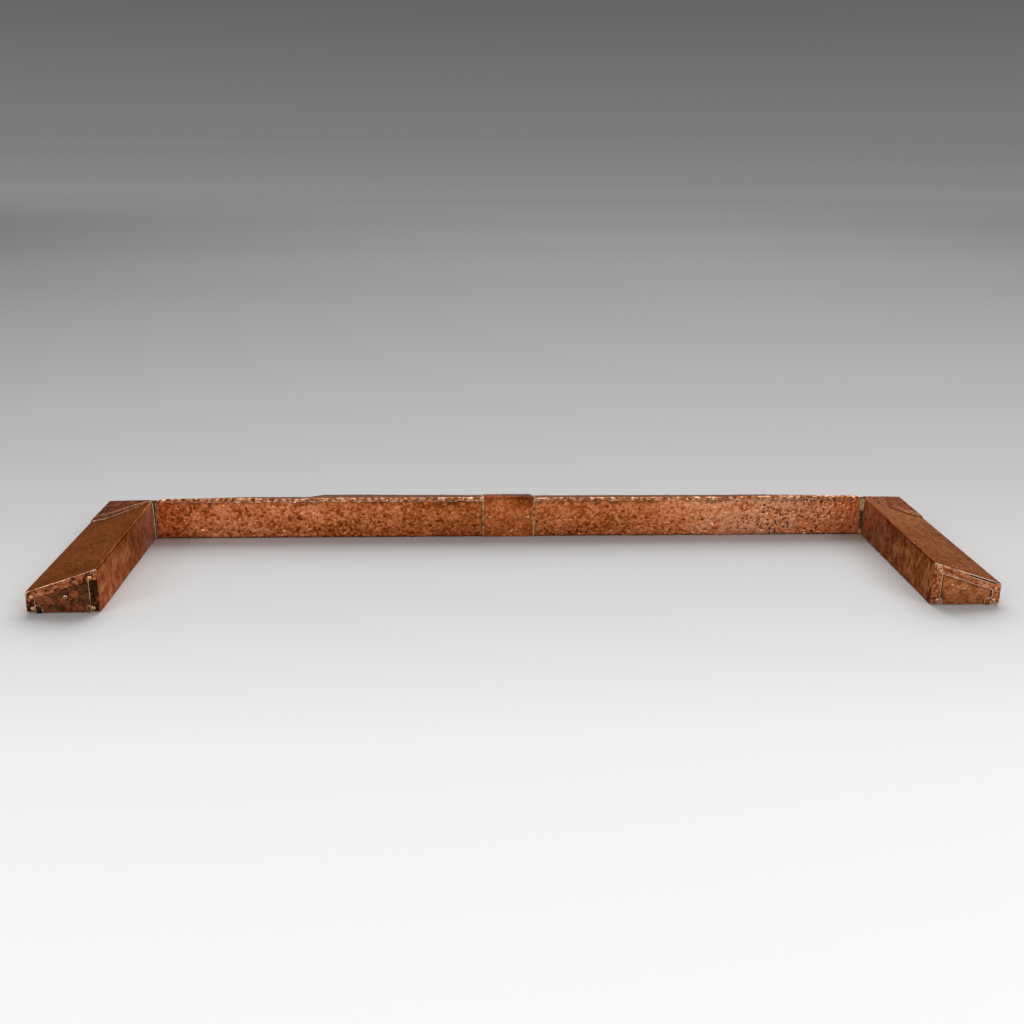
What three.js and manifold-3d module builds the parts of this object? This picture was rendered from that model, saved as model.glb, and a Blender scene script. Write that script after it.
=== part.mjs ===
// A kerb fender for a hearth: a long rail with an arm running back to the chimney at each end.
// Each length is a timber core, tall on the fire side and low on the room side, clad in folded
// sheet copper. The cladding is turned under the timber and tacked, lapped over the two corners,
// joined in the middle of the rail by a pinned sleeve, and closed at the arm ends by a plate held
// under folded flaps.
//
// Millimetres, +Z up. X runs along the rail, the arms point to -Y, and the fire is on the -Y side
// of the rail. The origin is the middle of the footprint, on the hearth.

import * as THREE from "three";
import { mergeVertices } from "three/addons/utils/BufferGeometryUtils.js";
import Module from "manifold-3d";

const wasm = await Module();
wasm.setup();

// ------------------------------------------------------------------ driving dimensions

// Plan, over the copper.
const OVERALL_WIDTH = 1372;
const OVERALL_DEPTH = 406.5;

// Section, over the copper: a wall to the fire, a top that falls to the room, a low wall there.
const SECTION_WIDTH = 101.5;
const FIRE_HEIGHT = 67;
const ROOM_HEIGHT = 33;
const RAIL_CROWN = 6; // how much the room side of the rail rises at mid length
const CROWN_POWER = 4; // of the crown's curve: the higher, the longer its level middle

// Sheet copper, and the clearance between one layer and the next.
const SHEET = 1;
const FIT = 0.3;
const LAYER = SHEET + FIT;
const WALL_BEND = 2.4; // outside radius of the folds that run along a length
const FLAP_BEND = 1.6; // outside radius of the sharper folds: lips, flaps and tabs

// Turned-under edges on the fire side and the room side.
const FIRE_FLANGE = 17;
const ROOM_FLANGE = 22;

// Small lip of the rail's top sheet, folded down over the fire wall.
const LIP_DROP = 4.5;
const LIP_STOP = 8; // how far short of the inner corner it ends

// Lap of the rail's sheet over the arm, seen from above: it dips along the arm between its ends.
const CORNER_LAP_DIP = 42;
const CORNER_LAP_DIP_AT = 70;
const CORNER_LAP_END = 5;
const ARM_TONGUE = 20; // how far the arm's sheet runs on under the corner

// Second top sheet on the left of the rail, lapped over the first.
const TOP_LAP_TACKS = 2; // tacks on each of its edges that hold it
const TOP_LAP_PAST_TACK = 44; // from the last of them to its free end
const TOP_LAP_TONGUE = 20;
const TOP_LAP_LIFT = 2.5; // how far its free end springs up on the room side
const TOP_LAP_RAMP = 24; // length over which it rises from the sheet below

// Sleeve over the joint in the middle of the rail.
const SLEEVE_WIDTH = 82;
const SLEEVE_OFFSET = -7; // from the middle of the rail
const SLEEVE_FOOT = 1; // its raw edges stop this far above the hearth
const JOINT_GAP = 2; // between the butted sheets under it
const SLEEVE_SOLDER = 1.6; // width of the solder line along each of its edges

// Solder fillet in the two inner corners.
const CORNER_SOLDER = 5;
const CORNER_SOLDER_WAIST = 1.5; // how far its hollow face is drawn in towards, from the corner
const CORNER_SOLDER_FOOT = 1.5;

// Closed end of an arm.
const FLAP_WIDTH = 12.5;
const FLAP_CORNER = 5;
const FLAP_ROOT = 4; // how far a flap runs back along the arm behind its fold
const TAB_HEIGHT = 12;
const TAB_SLIT = 0.4;

// Round-headed pins.
const PIN_HEAD = 7;
const PIN_HEAD_HEIGHT = 2.2;
const PIN_SHANK = 2.6;
const PIN_LENGTH = 16;
const PIN_TIP = 0.8; // across the blunt tip
const END_PIN_INSET = 9; // from the sides of the end
const END_PIN_DROP = 9; // below the slope
const END_PIN_FOOT = 8; // above the hearth
const PLATE_PIN_ACROSS = 46;
const PLATE_PIN_HEIGHT = 24;
const SLEEVE_PIN_INSET = 9;
const SLEEVE_PIN_HEIGHT = 34;
const SLEEVE_LOW_PIN_HEIGHT = 10;
const SLEEVE_LOW_PIN_OFFSET = 4.3;
const SLEEVE_ROOM_PIN_HEIGHT = 18;

// Tacks through the turned-under edges.
const TACK_HEAD = 5;
const TACK_SHANK = 2;
const TACK_TIP = 0.6;
const TACK_LENGTH = 11;
const TACK_RECESS = 0.15;
const TACK_INSET = 9;
const RAIL_TACK_FROM_CORNER = 94.5; // from the inner corner to the last tack of the rail
const ARM_TACK_FROM_END = 70;
const ARM_TACK_PITCH = 150;
const RAIL_TACKS = 3; // on each half of each edge
const ARM_TACKS = 2; // on each edge

// Screws across the timber mitres.
const SCREW_HEAD = 9;
const SCREW_SHANK = 4.8;
const SCREW_TIP = 1.5;
const SCREW_LENGTH = 74;
const SCREW_SINK = 1;
const RAIL_SCREW_ACROSS = 68;
const RAIL_SCREW_HEIGHT = 21;
const ARM_SCREW_ACROSS = 62;
const ARM_SCREW_HEIGHT = 10;

// Facets.
const BEND_STEPS = 4;
const CROWN_STEPS = 8; // straight stretches in half of the crowned rail
const PIN_SIDES = 12;
const TACK_SIDES = 8;
const DOME_STEPS = 3;
const CURVE_STEPS = 14;
const MERGE = 1e-4; // points closer than this are one

// ------------------------------------------------------------------ places worked out from them

const HALF_WIDTH = OVERALL_WIDTH / 2;
const ARM_FIRE_X = HALF_WIDTH - SECTION_WIDTH;
const MITRE_FIT = FIT * Math.SQRT2; // a mitre drawn back by this along one length clears the other
const RAIL_ROOM_Y = (OVERALL_DEPTH - LAYER) / 2;
const RAIL_FIRE_Y = RAIL_ROOM_Y - SECTION_WIDTH;
const END_Y = RAIL_ROOM_Y - OVERALL_DEPTH;
const RAIL_TACK_PITCH = (ARM_FIRE_X - RAIL_TACK_FROM_CORNER) / (RAIL_TACKS - 1 / 2);
const SLEEVE_LEFT = SLEEVE_OFFSET - SLEEVE_WIDTH / 2;
const SLEEVE_RIGHT = SLEEVE_OFFSET + SLEEVE_WIDTH / 2;
const SOLDER_SPACE = SLEEVE_SOLDER + 2 * FIT;
const TOP_LAP_X = -((TOP_LAP_TACKS - 1 / 2) * RAIL_TACK_PITCH + TOP_LAP_PAST_TACK);

// Layers of the closed end, from the outside in.
const TOP_FLAP_Y = END_Y;
const SIDE_FLAP_Y = TOP_FLAP_Y + LAYER;
const PLATE_Y = SIDE_FLAP_Y + LAYER;
const ARM_CORE_END_Y = PLATE_Y + LAYER;

const X_AXIS = new THREE.Vector3(1, 0, 0);
const Y_AXIS = new THREE.Vector3(0, 1, 0);
const Z_AXIS = new THREE.Vector3(0, 0, 1);
const BEYOND = 60; // how far a cutting block reaches past what it cuts

const COPPER = { color: 0x9a5534, metalness: 0.9, roughness: 0.35 };
const DARK_COPPER = { color: 0x5e3a28, metalness: 0.8, roughness: 0.5 };
const PIN_METAL = { color: 0xc08a5a, metalness: 0.9, roughness: 0.3 };
const SOLDER = { color: 0x8d8a72, metalness: 0.6, roughness: 0.55 };
const TIMBER = { color: 0x8a6a45, metalness: 0, roughness: 0.8 };
const STEEL = { color: 0x6f6f72, metalness: 0.8, roughness: 0.45 };

// ------------------------------------------------------------------ section of the fender

const point = (across, height) => new THREE.Vector2(across, height);

// Height of the section's room side: level at the corners, crowned along the rail.
function roomHeightAt(x) {
  const along = Math.min(Math.abs(x) / ARM_FIRE_X, 1);
  return ROOM_HEIGHT + RAIL_CROWN * (1 - along ** CROWN_POWER);
}

// The sloping top as a line in the section, moved in by an inset square to it.
function topLine(inset = 0, roomHeight = ROOM_HEIGHT) {
  const slope = (roomHeight - FIRE_HEIGHT) / SECTION_WIDTH;
  const drop = inset * Math.hypot(1, slope);
  return { slope, at: (across) => FIRE_HEIGHT + slope * across - drop };
}

// The four corners of the section, each side moved in by its own inset, clockwise from the foot
// of the fire side. A negative inset moves a side out.
function sectionCorners({ fire = 0, top = 0, room = 0, under = 0, roomHeight = ROOM_HEIGHT }) {
  const line = topLine(top, roomHeight);
  const far = SECTION_WIDTH - room;
  return [
    point(fire, under),
    point(fire, line.at(fire)),
    point(far, line.at(far)),
    point(far, under),
  ];
}

// ------------------------------------------------------------------ outlines

const rightOf = (direction) => point(direction.y, -direction.x);
const heading = (from, to) => to.clone().sub(from).normalize();

// Points round a corner that turns right, on an arc of the given radius less an inset.
function cornerArc(before, corner, after, radius, inset = 0) {
  const arriving = heading(before, corner);
  const leaving = heading(corner, after);
  const turn = Math.acos(THREE.MathUtils.clamp(arriving.dot(leaving), -1, 1));
  const start = corner.clone().addScaledVector(arriving, -radius * Math.tan(turn / 2));
  const centre = start.clone().addScaledVector(rightOf(arriving), radius);
  return Array.from({ length: BEND_STEPS + 1 }, (_, step) => {
    const spoke = rightOf(arriving).negate().rotateAround(point(0, 0), (-turn * step) / BEND_STEPS);
    return centre.clone().addScaledVector(spoke, radius - inset);
  });
}

// Outline of a sheet folded along a path. The path is the sheet's face and turns right at every
// fold, and the sheet's thickness lies on its right.
function foldedSheet(path, bend) {
  const side = (inset) =>
    path.flatMap((corner, i) => {
      const before = path[i - 1];
      const after = path[i + 1];
      if (before && after) return cornerArc(before, corner, after, bend, inset);
      const direction = before ? heading(before, corner) : heading(corner, after);
      return [corner.clone().addScaledVector(rightOf(direction), inset)];
    });
  return [...side(0), ...side(SHEET).reverse()];
}

// Closed clockwise outline with every corner eased to a radius.
function easedOutline(corners, radius) {
  const count = corners.length;
  return corners.flatMap((corner, i) =>
    cornerArc(corners[(i + count - 1) % count], corner, corners[(i + 1) % count], radius),
  );
}

// ------------------------------------------------------------------ solids

// A closed geometry as a solid that can be joined and cut.
function solidOf(geometry) {
  const bare = geometry.index ? geometry.toNonIndexed() : geometry.clone();
  bare.deleteAttribute("normal");
  bare.deleteAttribute("uv");
  const merged = mergeVertices(bare, MERGE);
  return new wasm.Manifold(
    new wasm.Mesh({
      numProp: 3,
      vertProperties: merged.attributes.position.array,
      triVerts: new Uint32Array(merged.index.array),
    }),
  );
}

function geometryOf(solid) {
  const { vertProperties, triVerts } = solid.getMesh();
  const geometry = new THREE.BufferGeometry();
  geometry.setAttribute("position", new THREE.BufferAttribute(vertProperties, 3));
  geometry.setIndex(new THREE.BufferAttribute(triVerts, 1));
  geometry.computeVertexNormals();
  return geometry;
}

// Solid through a row of sections. Each is an outline and a way to stand its points up in space,
// and all the outlines have as many points.
function loft(sections) {
  const count = sections[0].outline.length;
  const flip = THREE.ShapeUtils.isClockWise(sections[0].outline);
  const rings = sections.map(({ outline }) => (flip ? [...outline].reverse() : outline));
  const corners = sections.flatMap(({ stand }, i) => rings[i].map(stand));
  const faces = [];
  // A twisted side is split along its higher diagonal, so that layers on each other split alike.
  const higher = (a, b, c, d) => corners[a].z + corners[b].z > corners[c].z + corners[d].z;
  for (let ring = 0; ring < rings.length - 1; ring++) {
    for (let i = 0; i < count; i++) {
      const j = (i + 1) % count;
      const near = ring * count;
      const far = near + count;
      if (higher(near + i, far + j, near + j, far + i)) {
        faces.push(near + i, near + j, far + j, near + i, far + j, far + i);
      } else {
        faces.push(near + i, near + j, far + i, near + j, far + j, far + i);
      }
    }
  }
  const last = (rings.length - 1) * count;
  THREE.ShapeUtils.triangulateShape(rings[0], []).forEach(([a, b, c]) => {
    faces.push(a, c, b, last + a, last + b, last + c);
  });
  const edge = (from, to) => corners[to].clone().sub(corners[from]);
  let sixVolumes = 0;
  for (let f = 0; f < faces.length; f += 3) {
    const [a, b, c] = faces.slice(f, f + 3);
    sixVolumes += corners[a].clone().sub(corners[0]).dot(edge(a, b).cross(edge(a, c)));
  }
  if (sixVolumes < 0) faces.reverse();
  const geometry = new THREE.BufferGeometry().setFromPoints(corners);
  geometry.setIndex(faces);
  return solidOf(geometry);
}

// Straight solid: an outline laid out on the directions u and v from an origin, swept by a vector.
function prism(outline, origin, u, v, sweep) {
  const stand = (p) => origin.clone().addScaledVector(u, p.x).addScaledVector(v, p.y);
  return loft([
    { outline, stand },
    { outline, stand: (p) => stand(p).add(sweep) },
  ]);
}

// Ways to stand the section up: across the rail, in the mitre of the right or left corner, and
// across an arm. A mitre can be drawn back along the rail or along the arm.
const acrossRail = (x) => (p) => new THREE.Vector3(x, RAIL_FIRE_Y + p.x, p.y);
const acrossArm = (sign, y) => (p) => new THREE.Vector3(sign * (ARM_FIRE_X + p.x), y, p.y);
const inMitre =
  (sign, { railBack = 0, armBack = 0 } = {}) =>
  (p) =>
    new THREE.Vector3(
      sign * (ARM_FIRE_X + p.x - railBack),
      RAIL_FIRE_Y + p.x - armBack,
      p.y,
    );

// Sections of the rail from one station to another: at the ends, and on the lines of one grid
// that all the lengths share. outlineAt(x) gives the outline at a station.
function railSections(fromX, toX, outlineAt) {
  const half = ARM_FIRE_X - LIP_STOP;
  const lines = Array.from(
    { length: 2 * CROWN_STEPS + 1 },
    (_, i) => (half * (i - CROWN_STEPS)) / CROWN_STEPS,
  );
  const stations = [fromX, ...lines.filter((x) => x > fromX && x < toX), toX];
  return stations.map((x) => ({ outline: outlineAt(x), stand: acrossRail(x) }));
}

const alongRail = (fromX, toX, outlineAt) => loft(railSections(fromX, toX, outlineAt));

// A straight stretch of the right arm.
const alongArm = (fromY, toY, outline) =>
  loft([fromY, toY].map((y) => ({ outline, stand: acrossArm(1, y) })));

function block(from, to) {
  const size = to.clone().sub(from);
  const middle = from.clone().add(to).multiplyScalar(0.5);
  return solidOf(
    new THREE.BoxGeometry(size.x, size.y, size.z).translate(middle.x, middle.y, middle.z),
  );
}

// The same solid on the other side of the fender.
function mirrored(solid) {
  const geometry = geometryOf(solid);
  geometry.scale(-1, 1, 1);
  const index = geometry.index.array;
  for (let i = 0; i < index.length; i += 3) {
    [index[i + 1], index[i + 2]] = [index[i + 2], index[i + 1]];
  }
  return solidOf(geometry);
}

const onSide = (side, solid) => (side === "left" ? mirrored(solid) : solid);

// ------------------------------------------------------------------ fasteners

// Each fastener turns about +Y in its own frame: its head is above the origin and its shank
// points down. "at" is the point on its seat, and "into" is the way that it is driven.

// Profile of a shank from its tip towards its seat, made thicker all round by a clearance.
function shankProfile({ shank, tip, length }, grow) {
  return [
    point(0, -length - grow),
    point(tip / 2 + grow, -length - grow),
    point(shank / 2 + grow, shank - length - grow),
  ];
}

const PIN = { shank: PIN_SHANK, tip: PIN_TIP, length: PIN_LENGTH };

function pinBody() {
  const radius = PIN_HEAD / 2;
  const ball = (radius * radius + PIN_HEAD_HEIGHT * PIN_HEAD_HEIGHT) / (2 * PIN_HEAD_HEIGHT);
  const widest = Math.asin(radius / ball);
  const dome = Array.from({ length: DOME_STEPS }, (_, i) => {
    const angle = widest * (1 - i / DOME_STEPS);
    const height = FIT + PIN_HEAD_HEIGHT - ball * (1 - Math.cos(angle));
    return point(ball * Math.sin(angle), height);
  });
  const profile = [
    ...shankProfile(PIN, 0),
    point(PIN_SHANK / 2, FIT),
    ...dome,
    point(0, FIT + PIN_HEAD_HEIGHT),
  ];
  return new THREE.LatheGeometry(profile, PIN_SIDES);
}

function pinHole() {
  const profile = [
    ...shankProfile(PIN, FIT),
    point(PIN_SHANK / 2 + FIT, LAYER),
    point(0, LAYER),
  ];
  return new THREE.LatheGeometry(profile, PIN_SIDES);
}

const TACK = {
  head: TACK_HEAD,
  shank: TACK_SHANK,
  tip: TACK_TIP,
  length: TACK_LENGTH,
  sink: TACK_RECESS,
  sides: TACK_SIDES,
};
const SCREW = {
  head: SCREW_HEAD,
  shank: SCREW_SHANK,
  tip: SCREW_TIP,
  length: SCREW_LENGTH,
  sink: SCREW_SINK,
  sides: PIN_SIDES,
};

// A flat-headed fastener sunk below the face that it is driven into, made thicker all round by a
// clearance, up to a height above that face.
function sunkProfile(kind, grow, top) {
  const { head, shank, sink, sides } = kind;
  const headHeight = (head - shank) / 2;
  const profile = [
    ...shankProfile(kind, grow),
    point(shank / 2 + grow, -sink - headHeight - grow),
    point(head / 2 + grow, -sink - grow),
    point(head / 2 + grow, top),
    point(0, top),
  ];
  return new THREE.LatheGeometry(profile, sides);
}

const sunkBody = (kind) => sunkProfile(kind, 0, -kind.sink);
const sunkHole = (kind) => sunkProfile(kind, FIT, FIT / 2);

function placed(geometry, at, into) {
  const turn = new THREE.Quaternion().setFromUnitVectors(Y_AXIS.clone().negate(), into);
  return geometry.applyQuaternion(turn).translate(at.x, at.y, at.z);
}

const fasteners = [];

function fasten(name, body, hole, material, at, into) {
  fasteners.push({
    name,
    material,
    solid: solidOf(placed(body, at, into)),
    hole: solidOf(placed(hole, at, into)),
  });
}

const onBothSides = (place) => {
  place("left", -1);
  place("right", 1);
};

// Four corner pins and one through the plate at each end of the fender.
function fastenEnds() {
  const slope = topLine(LAYER);
  const roomEdge = SECTION_WIDTH - LAYER;
  const pins = [
    ["top_fire", END_PIN_INSET, slope.at(END_PIN_INSET) - END_PIN_DROP, TOP_FLAP_Y],
    [
      "top_room",
      roomEdge - END_PIN_INSET,
      slope.at(roomEdge - END_PIN_INSET) - END_PIN_DROP,
      TOP_FLAP_Y,
    ],
    ["foot_fire", END_PIN_INSET, END_PIN_FOOT, SIDE_FLAP_Y],
    ["foot_room", roomEdge - END_PIN_INSET, END_PIN_FOOT, SIDE_FLAP_Y],
    ["plate", PLATE_PIN_ACROSS, PLATE_PIN_HEIGHT, PLATE_Y],
  ];
  onBothSides((side, sign) => {
    pins.forEach(([where, across, height, seat]) => {
      const at = new THREE.Vector3(sign * (ARM_FIRE_X + across), seat, height);
      fasten(`${side}_end_pin_${where}`, pinBody(), pinHole(), PIN_METAL, at, Y_AXIS);
    });
  });
}

// Three pins on the fire side of the sleeve and two on the room side.
function fastenSleeve() {
  const left = SLEEVE_LEFT + SLEEVE_PIN_INSET;
  const right = SLEEVE_RIGHT - SLEEVE_PIN_INSET;
  const low = SLEEVE_OFFSET + SLEEVE_LOW_PIN_OFFSET;
  const fireSeat = RAIL_FIRE_Y - LAYER;
  const roomSeat = RAIL_ROOM_Y + LAYER;
  const toFire = Y_AXIS.clone().negate();
  const pins = [
    ["fire_left", left, SLEEVE_PIN_HEIGHT, fireSeat, Y_AXIS],
    ["fire_right", right, SLEEVE_PIN_HEIGHT, fireSeat, Y_AXIS],
    ["fire_low", low, SLEEVE_LOW_PIN_HEIGHT, fireSeat, Y_AXIS],
    ["room_left", left, SLEEVE_ROOM_PIN_HEIGHT, roomSeat, toFire],
    ["room_right", right, SLEEVE_ROOM_PIN_HEIGHT, roomSeat, toFire],
  ];
  pins.forEach(([where, x, height, y, into]) => {
    const at = new THREE.Vector3(x, y, height);
    fasten(`sleeve_pin_${where}`, pinBody(), pinHole(), PIN_METAL, at, into);
  });
}

// Tacks up through the turned-under edges.
function fastenFlanges() {
  const tack = (name, x, y) => {
    const at = new THREE.Vector3(x, y, 0);
    fasten(name, sunkBody(TACK), sunkHole(TACK), PIN_METAL, at, Z_AXIS);
  };
  const railFire = RAIL_FIRE_Y + TACK_INSET;
  const railRoom = RAIL_ROOM_Y - TACK_INSET;
  onBothSides((side, sign) => {
    for (let i = 0; i < RAIL_TACKS; i++) {
      const x = sign * (i + 1 / 2) * RAIL_TACK_PITCH;
      tack(`rail_tack_fire_${side}_${i + 1}`, x, railFire);
      tack(`rail_tack_room_${side}_${i + 1}`, x, railRoom);
    }
    for (let i = 0; i < ARM_TACKS; i++) {
      const y = END_Y + ARM_TACK_FROM_END + i * ARM_TACK_PITCH;
      tack(`${side}_arm_tack_fire_${i + 1}`, sign * (ARM_FIRE_X + TACK_INSET), y);
      tack(`${side}_arm_tack_room_${i + 1}`, sign * (HALF_WIDTH - LAYER - TACK_INSET), y);
    }
  });
}

// Two screws cross each timber mitre at different heights, one from each outer face.
function fastenMitres() {
  onBothSides((side, sign) => {
    const screw = (name, at, into) =>
      fasten(name, sunkBody(SCREW), sunkHole(SCREW), STEEL, at, into);
    screw(
      `${side}_mitre_screw_rail`,
      new THREE.Vector3(
        sign * (ARM_FIRE_X + RAIL_SCREW_ACROSS),
        RAIL_ROOM_Y - LAYER,
        RAIL_SCREW_HEIGHT,
      ),
      Y_AXIS.clone().negate(),
    );
    screw(
      `${side}_mitre_screw_arm`,
      new THREE.Vector3(
        sign * (HALF_WIDTH - 2 * LAYER),
        RAIL_FIRE_Y + ARM_SCREW_ACROSS,
        ARM_SCREW_HEIGHT,
      ),
      X_AXIS.clone().multiplyScalar(-sign),
    );
  });
}

fastenEnds();
fastenSleeve();
fastenFlanges();
fastenMitres();
const allHoles = fasteners.map((f) => f.hole).reduce((all, hole) => all.add(hole));
const drilled = (solid) => solid.subtract(allHoles);

// ------------------------------------------------------------------ timber cores

function railCore() {
  const outlineAt = (x) =>
    easedOutline(
      sectionCorners({
        fire: LAYER,
        top: LAYER,
        room: LAYER,
        under: LAYER,
        roomHeight: roomHeightAt(x),
      }),
      WALL_BEND - LAYER,
    );
  const mitre = (sign) => ({
    outline: outlineAt(ARM_FIRE_X),
    stand: inMitre(sign, { railBack: MITRE_FIT }),
  });
  const end = ARM_FIRE_X - LIP_STOP;
  return loft([mitre(-1), ...railSections(-end, end, outlineAt), mitre(1)]);
}

// The arm's copper lies one layer lower than the rail's, so that the corner can lap over it.
const ARM_CORE_INSETS = { fire: LAYER, top: 2 * LAYER, room: 2 * LAYER, under: LAYER };
const armCoreOutline = () => easedOutline(sectionCorners(ARM_CORE_INSETS), WALL_BEND - LAYER);

function armCore() {
  const outline = armCoreOutline();
  return loft([
    { outline, stand: acrossArm(1, ARM_CORE_END_Y) },
    { outline, stand: inMitre(1) },
  ]);
}

function endPlate() {
  return alongArm(PLATE_Y, PLATE_Y + SHEET, armCoreOutline());
}

// ------------------------------------------------------------------ copper on the rail

// The fire wall: a plain sheet with its foot turned under the timber.
function railFireSheet(fromX, toX) {
  const top = FIRE_HEIGHT - FLAP_BEND - SHEET;
  const path = [point(FIRE_FLANGE, 0), point(0, 0), point(0, top)];
  return alongRail(fromX, toX, () => foldedSheet(path, WALL_BEND));
}

// The path of a top sheet: lip, slope, room wall and the foot turned under, raised by layers.
function topSheetPath(x, raise, lift) {
  const roomHeight = roomHeightAt(x) + lift;
  const line = topLine(-raise, roomHeight);
  return [
    point(-LAYER, topLine(0, roomHeight).at(-LAYER) - LIP_DROP),
    point(-LAYER, line.at(-LAYER)),
    point(SECTION_WIDTH, line.at(SECTION_WIDTH)),
    point(SECTION_WIDTH, 0),
    point(SECTION_WIDTH - ROOM_FLANGE, 0),
  ];
}

const topSheetOutline = (x) => foldedSheet(topSheetPath(x, 0, 0), FLAP_BEND);

// The top sheets stop short of the sleeve's upper fold and of the solder beside it.
const openingUnderSleeve = () =>
  block(
    new THREE.Vector3(SLEEVE_LEFT - SOLDER_SPACE, RAIL_FIRE_Y - BEYOND, WALL_BEND),
    new THREE.Vector3(SLEEVE_RIGHT + SOLDER_SPACE, RAIL_FIRE_Y + WALL_BEND, OVERALL_DEPTH),
  );

// A top sheet is folded over the hip of a corner and lapped on to the arm. These are the sections
// that it runs on through there.
function cornerSections(sign) {
  const outline = topSheetOutline(ARM_FIRE_X);
  return [
    { outline, stand: inMitre(sign) },
    { outline, stand: acrossArm(sign, RAIL_FIRE_Y - SECTION_WIDTH) },
  ];
}

// What is cut away from it at the right corner: all that lies past the edge of the lap, and past
// the square end of the turned-under foot.
function cornerCut() {
  const lap = new THREE.QuadraticBezierCurve(
    point(0, 0),
    point(CORNER_LAP_DIP_AT, -CORNER_LAP_DIP),
    point(SECTION_WIDTH, -CORNER_LAP_END),
  );
  const pastLap = [
    point(-LIP_STOP, -SECTION_WIDTH - BEYOND),
    point(-LIP_STOP, 0),
    ...lap.getPoints(CURVE_STEPS),
    point(SECTION_WIDTH + BEYOND, -CORNER_LAP_END),
    point(SECTION_WIDTH + BEYOND, -SECTION_WIDTH - BEYOND),
  ];
  const pastFoot = block(
    new THREE.Vector3(ARM_FIRE_X, END_Y, -BEYOND),
    new THREE.Vector3(HALF_WIDTH + BEYOND, RAIL_FIRE_Y - CORNER_LAP_END, WALL_BEND),
  );
  return prism(
    pastLap,
    new THREE.Vector3(ARM_FIRE_X, RAIL_FIRE_Y, -BEYOND),
    X_AXIS,
    Y_AXIS,
    Z_AXIS.clone().multiplyScalar(FIRE_HEIGHT + 2 * BEYOND),
  ).add(pastFoot);
}

// Top sheet of the right half: under the sleeve, along the rail and round the corner.
function railTopRight() {
  const from = SLEEVE_OFFSET + JOINT_GAP / 2;
  return loft([
    ...railSections(from, ARM_FIRE_X - LIP_STOP, topSheetOutline),
    ...cornerSections(1),
  ])
    .subtract(cornerCut())
    .subtract(openingUnderSleeve());
}

// Outer top sheet of the left half: round the corner and on as a tongue under the next sheet.
function railTopLeft() {
  const edge = TOP_LAP_X - FIT;
  const tongueEnd = TOP_LAP_X + TOP_LAP_TONGUE;
  // The tongue has no lip, no room wall and no foot.
  const notches = [
    [RAIL_FIRE_Y - BEYOND, RAIL_FIRE_Y + WALL_BEND, -BEYOND, FIRE_HEIGHT + BEYOND],
    [RAIL_ROOM_Y - 2 * WALL_BEND, RAIL_ROOM_Y + BEYOND, -BEYOND, FIRE_HEIGHT + BEYOND],
    [RAIL_FIRE_Y, RAIL_ROOM_Y, -BEYOND, WALL_BEND],
  ].map(([nearY, farY, low, high]) =>
    block(
      new THREE.Vector3(edge, nearY, low),
      new THREE.Vector3(tongueEnd + BEYOND, farY, high),
    ),
  );
  const sheet = loft([
    ...cornerSections(-1).reverse(),
    ...railSections(LIP_STOP - ARM_FIRE_X, tongueEnd, topSheetOutline),
  ]);
  return [mirrored(cornerCut()), ...notches].reduce((left, cut) => left.subtract(cut), sheet);
}

// Inner top sheet of the left half: one layer up, its free end sprung up on the room side.
function railTopLapped() {
  const end = SLEEVE_OFFSET - JOINT_GAP / 2;
  const liftAt = (x) => {
    const rise = Math.min((x - TOP_LAP_X) / TOP_LAP_RAMP, 1);
    const settle = Math.min((SLEEVE_LEFT - x) / (SLEEVE_LEFT - TOP_LAP_X), 1);
    return TOP_LAP_LIFT * Math.sin((rise * Math.PI) / 2) * Math.max(settle, 0);
  };
  const outlineAt = (x) => foldedSheet(topSheetPath(x, LAYER, liftAt(x)), FLAP_BEND);
  const ramp = Array.from({ length: BEND_STEPS }, (_, i) => {
    const x = TOP_LAP_X + (i * TOP_LAP_RAMP) / BEND_STEPS;
    return { outline: outlineAt(x), stand: acrossRail(x) };
  });
  return loft([...ramp, ...railSections(TOP_LAP_X + TOP_LAP_RAMP, end, outlineAt)]).subtract(
    openingUnderSleeve(),
  );
}

// ------------------------------------------------------------------ copper on an arm

// One sheet wraps the arm: both feet turned under, and flaps folded over the end plate.
function armSheet() {
  const [fireFoot, fireTop, roomTop, roomFoot] = sectionCorners({ top: LAYER, room: LAYER });
  const path = [
    point(FIRE_FLANGE, 0),
    fireFoot,
    fireTop,
    roomTop,
    roomFoot,
    point(roomFoot.x - ROOM_FLANGE, 0),
  ];
  const outline = foldedSheet(path, WALL_BEND);
  const channel = loft([
    { outline, stand: acrossArm(1, SIDE_FLAP_Y + FLAP_BEND + FIT) },
    { outline, stand: inMitre(1, { armBack: MITRE_FIT }) },
  ]);
  const pastTongue = block(
    new THREE.Vector3(0, RAIL_FIRE_Y + ARM_TONGUE, -BEYOND),
    new THREE.Vector3(HALF_WIDTH + BEYOND, RAIL_ROOM_Y + BEYOND, FIRE_HEIGHT + BEYOND),
  );
  // Where the corner laps over the arm, the arm's own foot on the room side is cut away.
  const footCut = block(
    new THREE.Vector3(
      ARM_FIRE_X + SECTION_WIDTH / 2,
      RAIL_FIRE_Y - CORNER_LAP_END - FIT,
      -BEYOND,
    ),
    new THREE.Vector3(HALF_WIDTH + BEYOND, RAIL_ROOM_Y, WALL_BEND + FIT),
  );
  return [topFlap(), ...sideFlaps(), ...footTabs()]
    .reduce((sheet, flap) => sheet.add(flap), channel)
    .subtract(pastTongue)
    .subtract(footCut);
}

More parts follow.
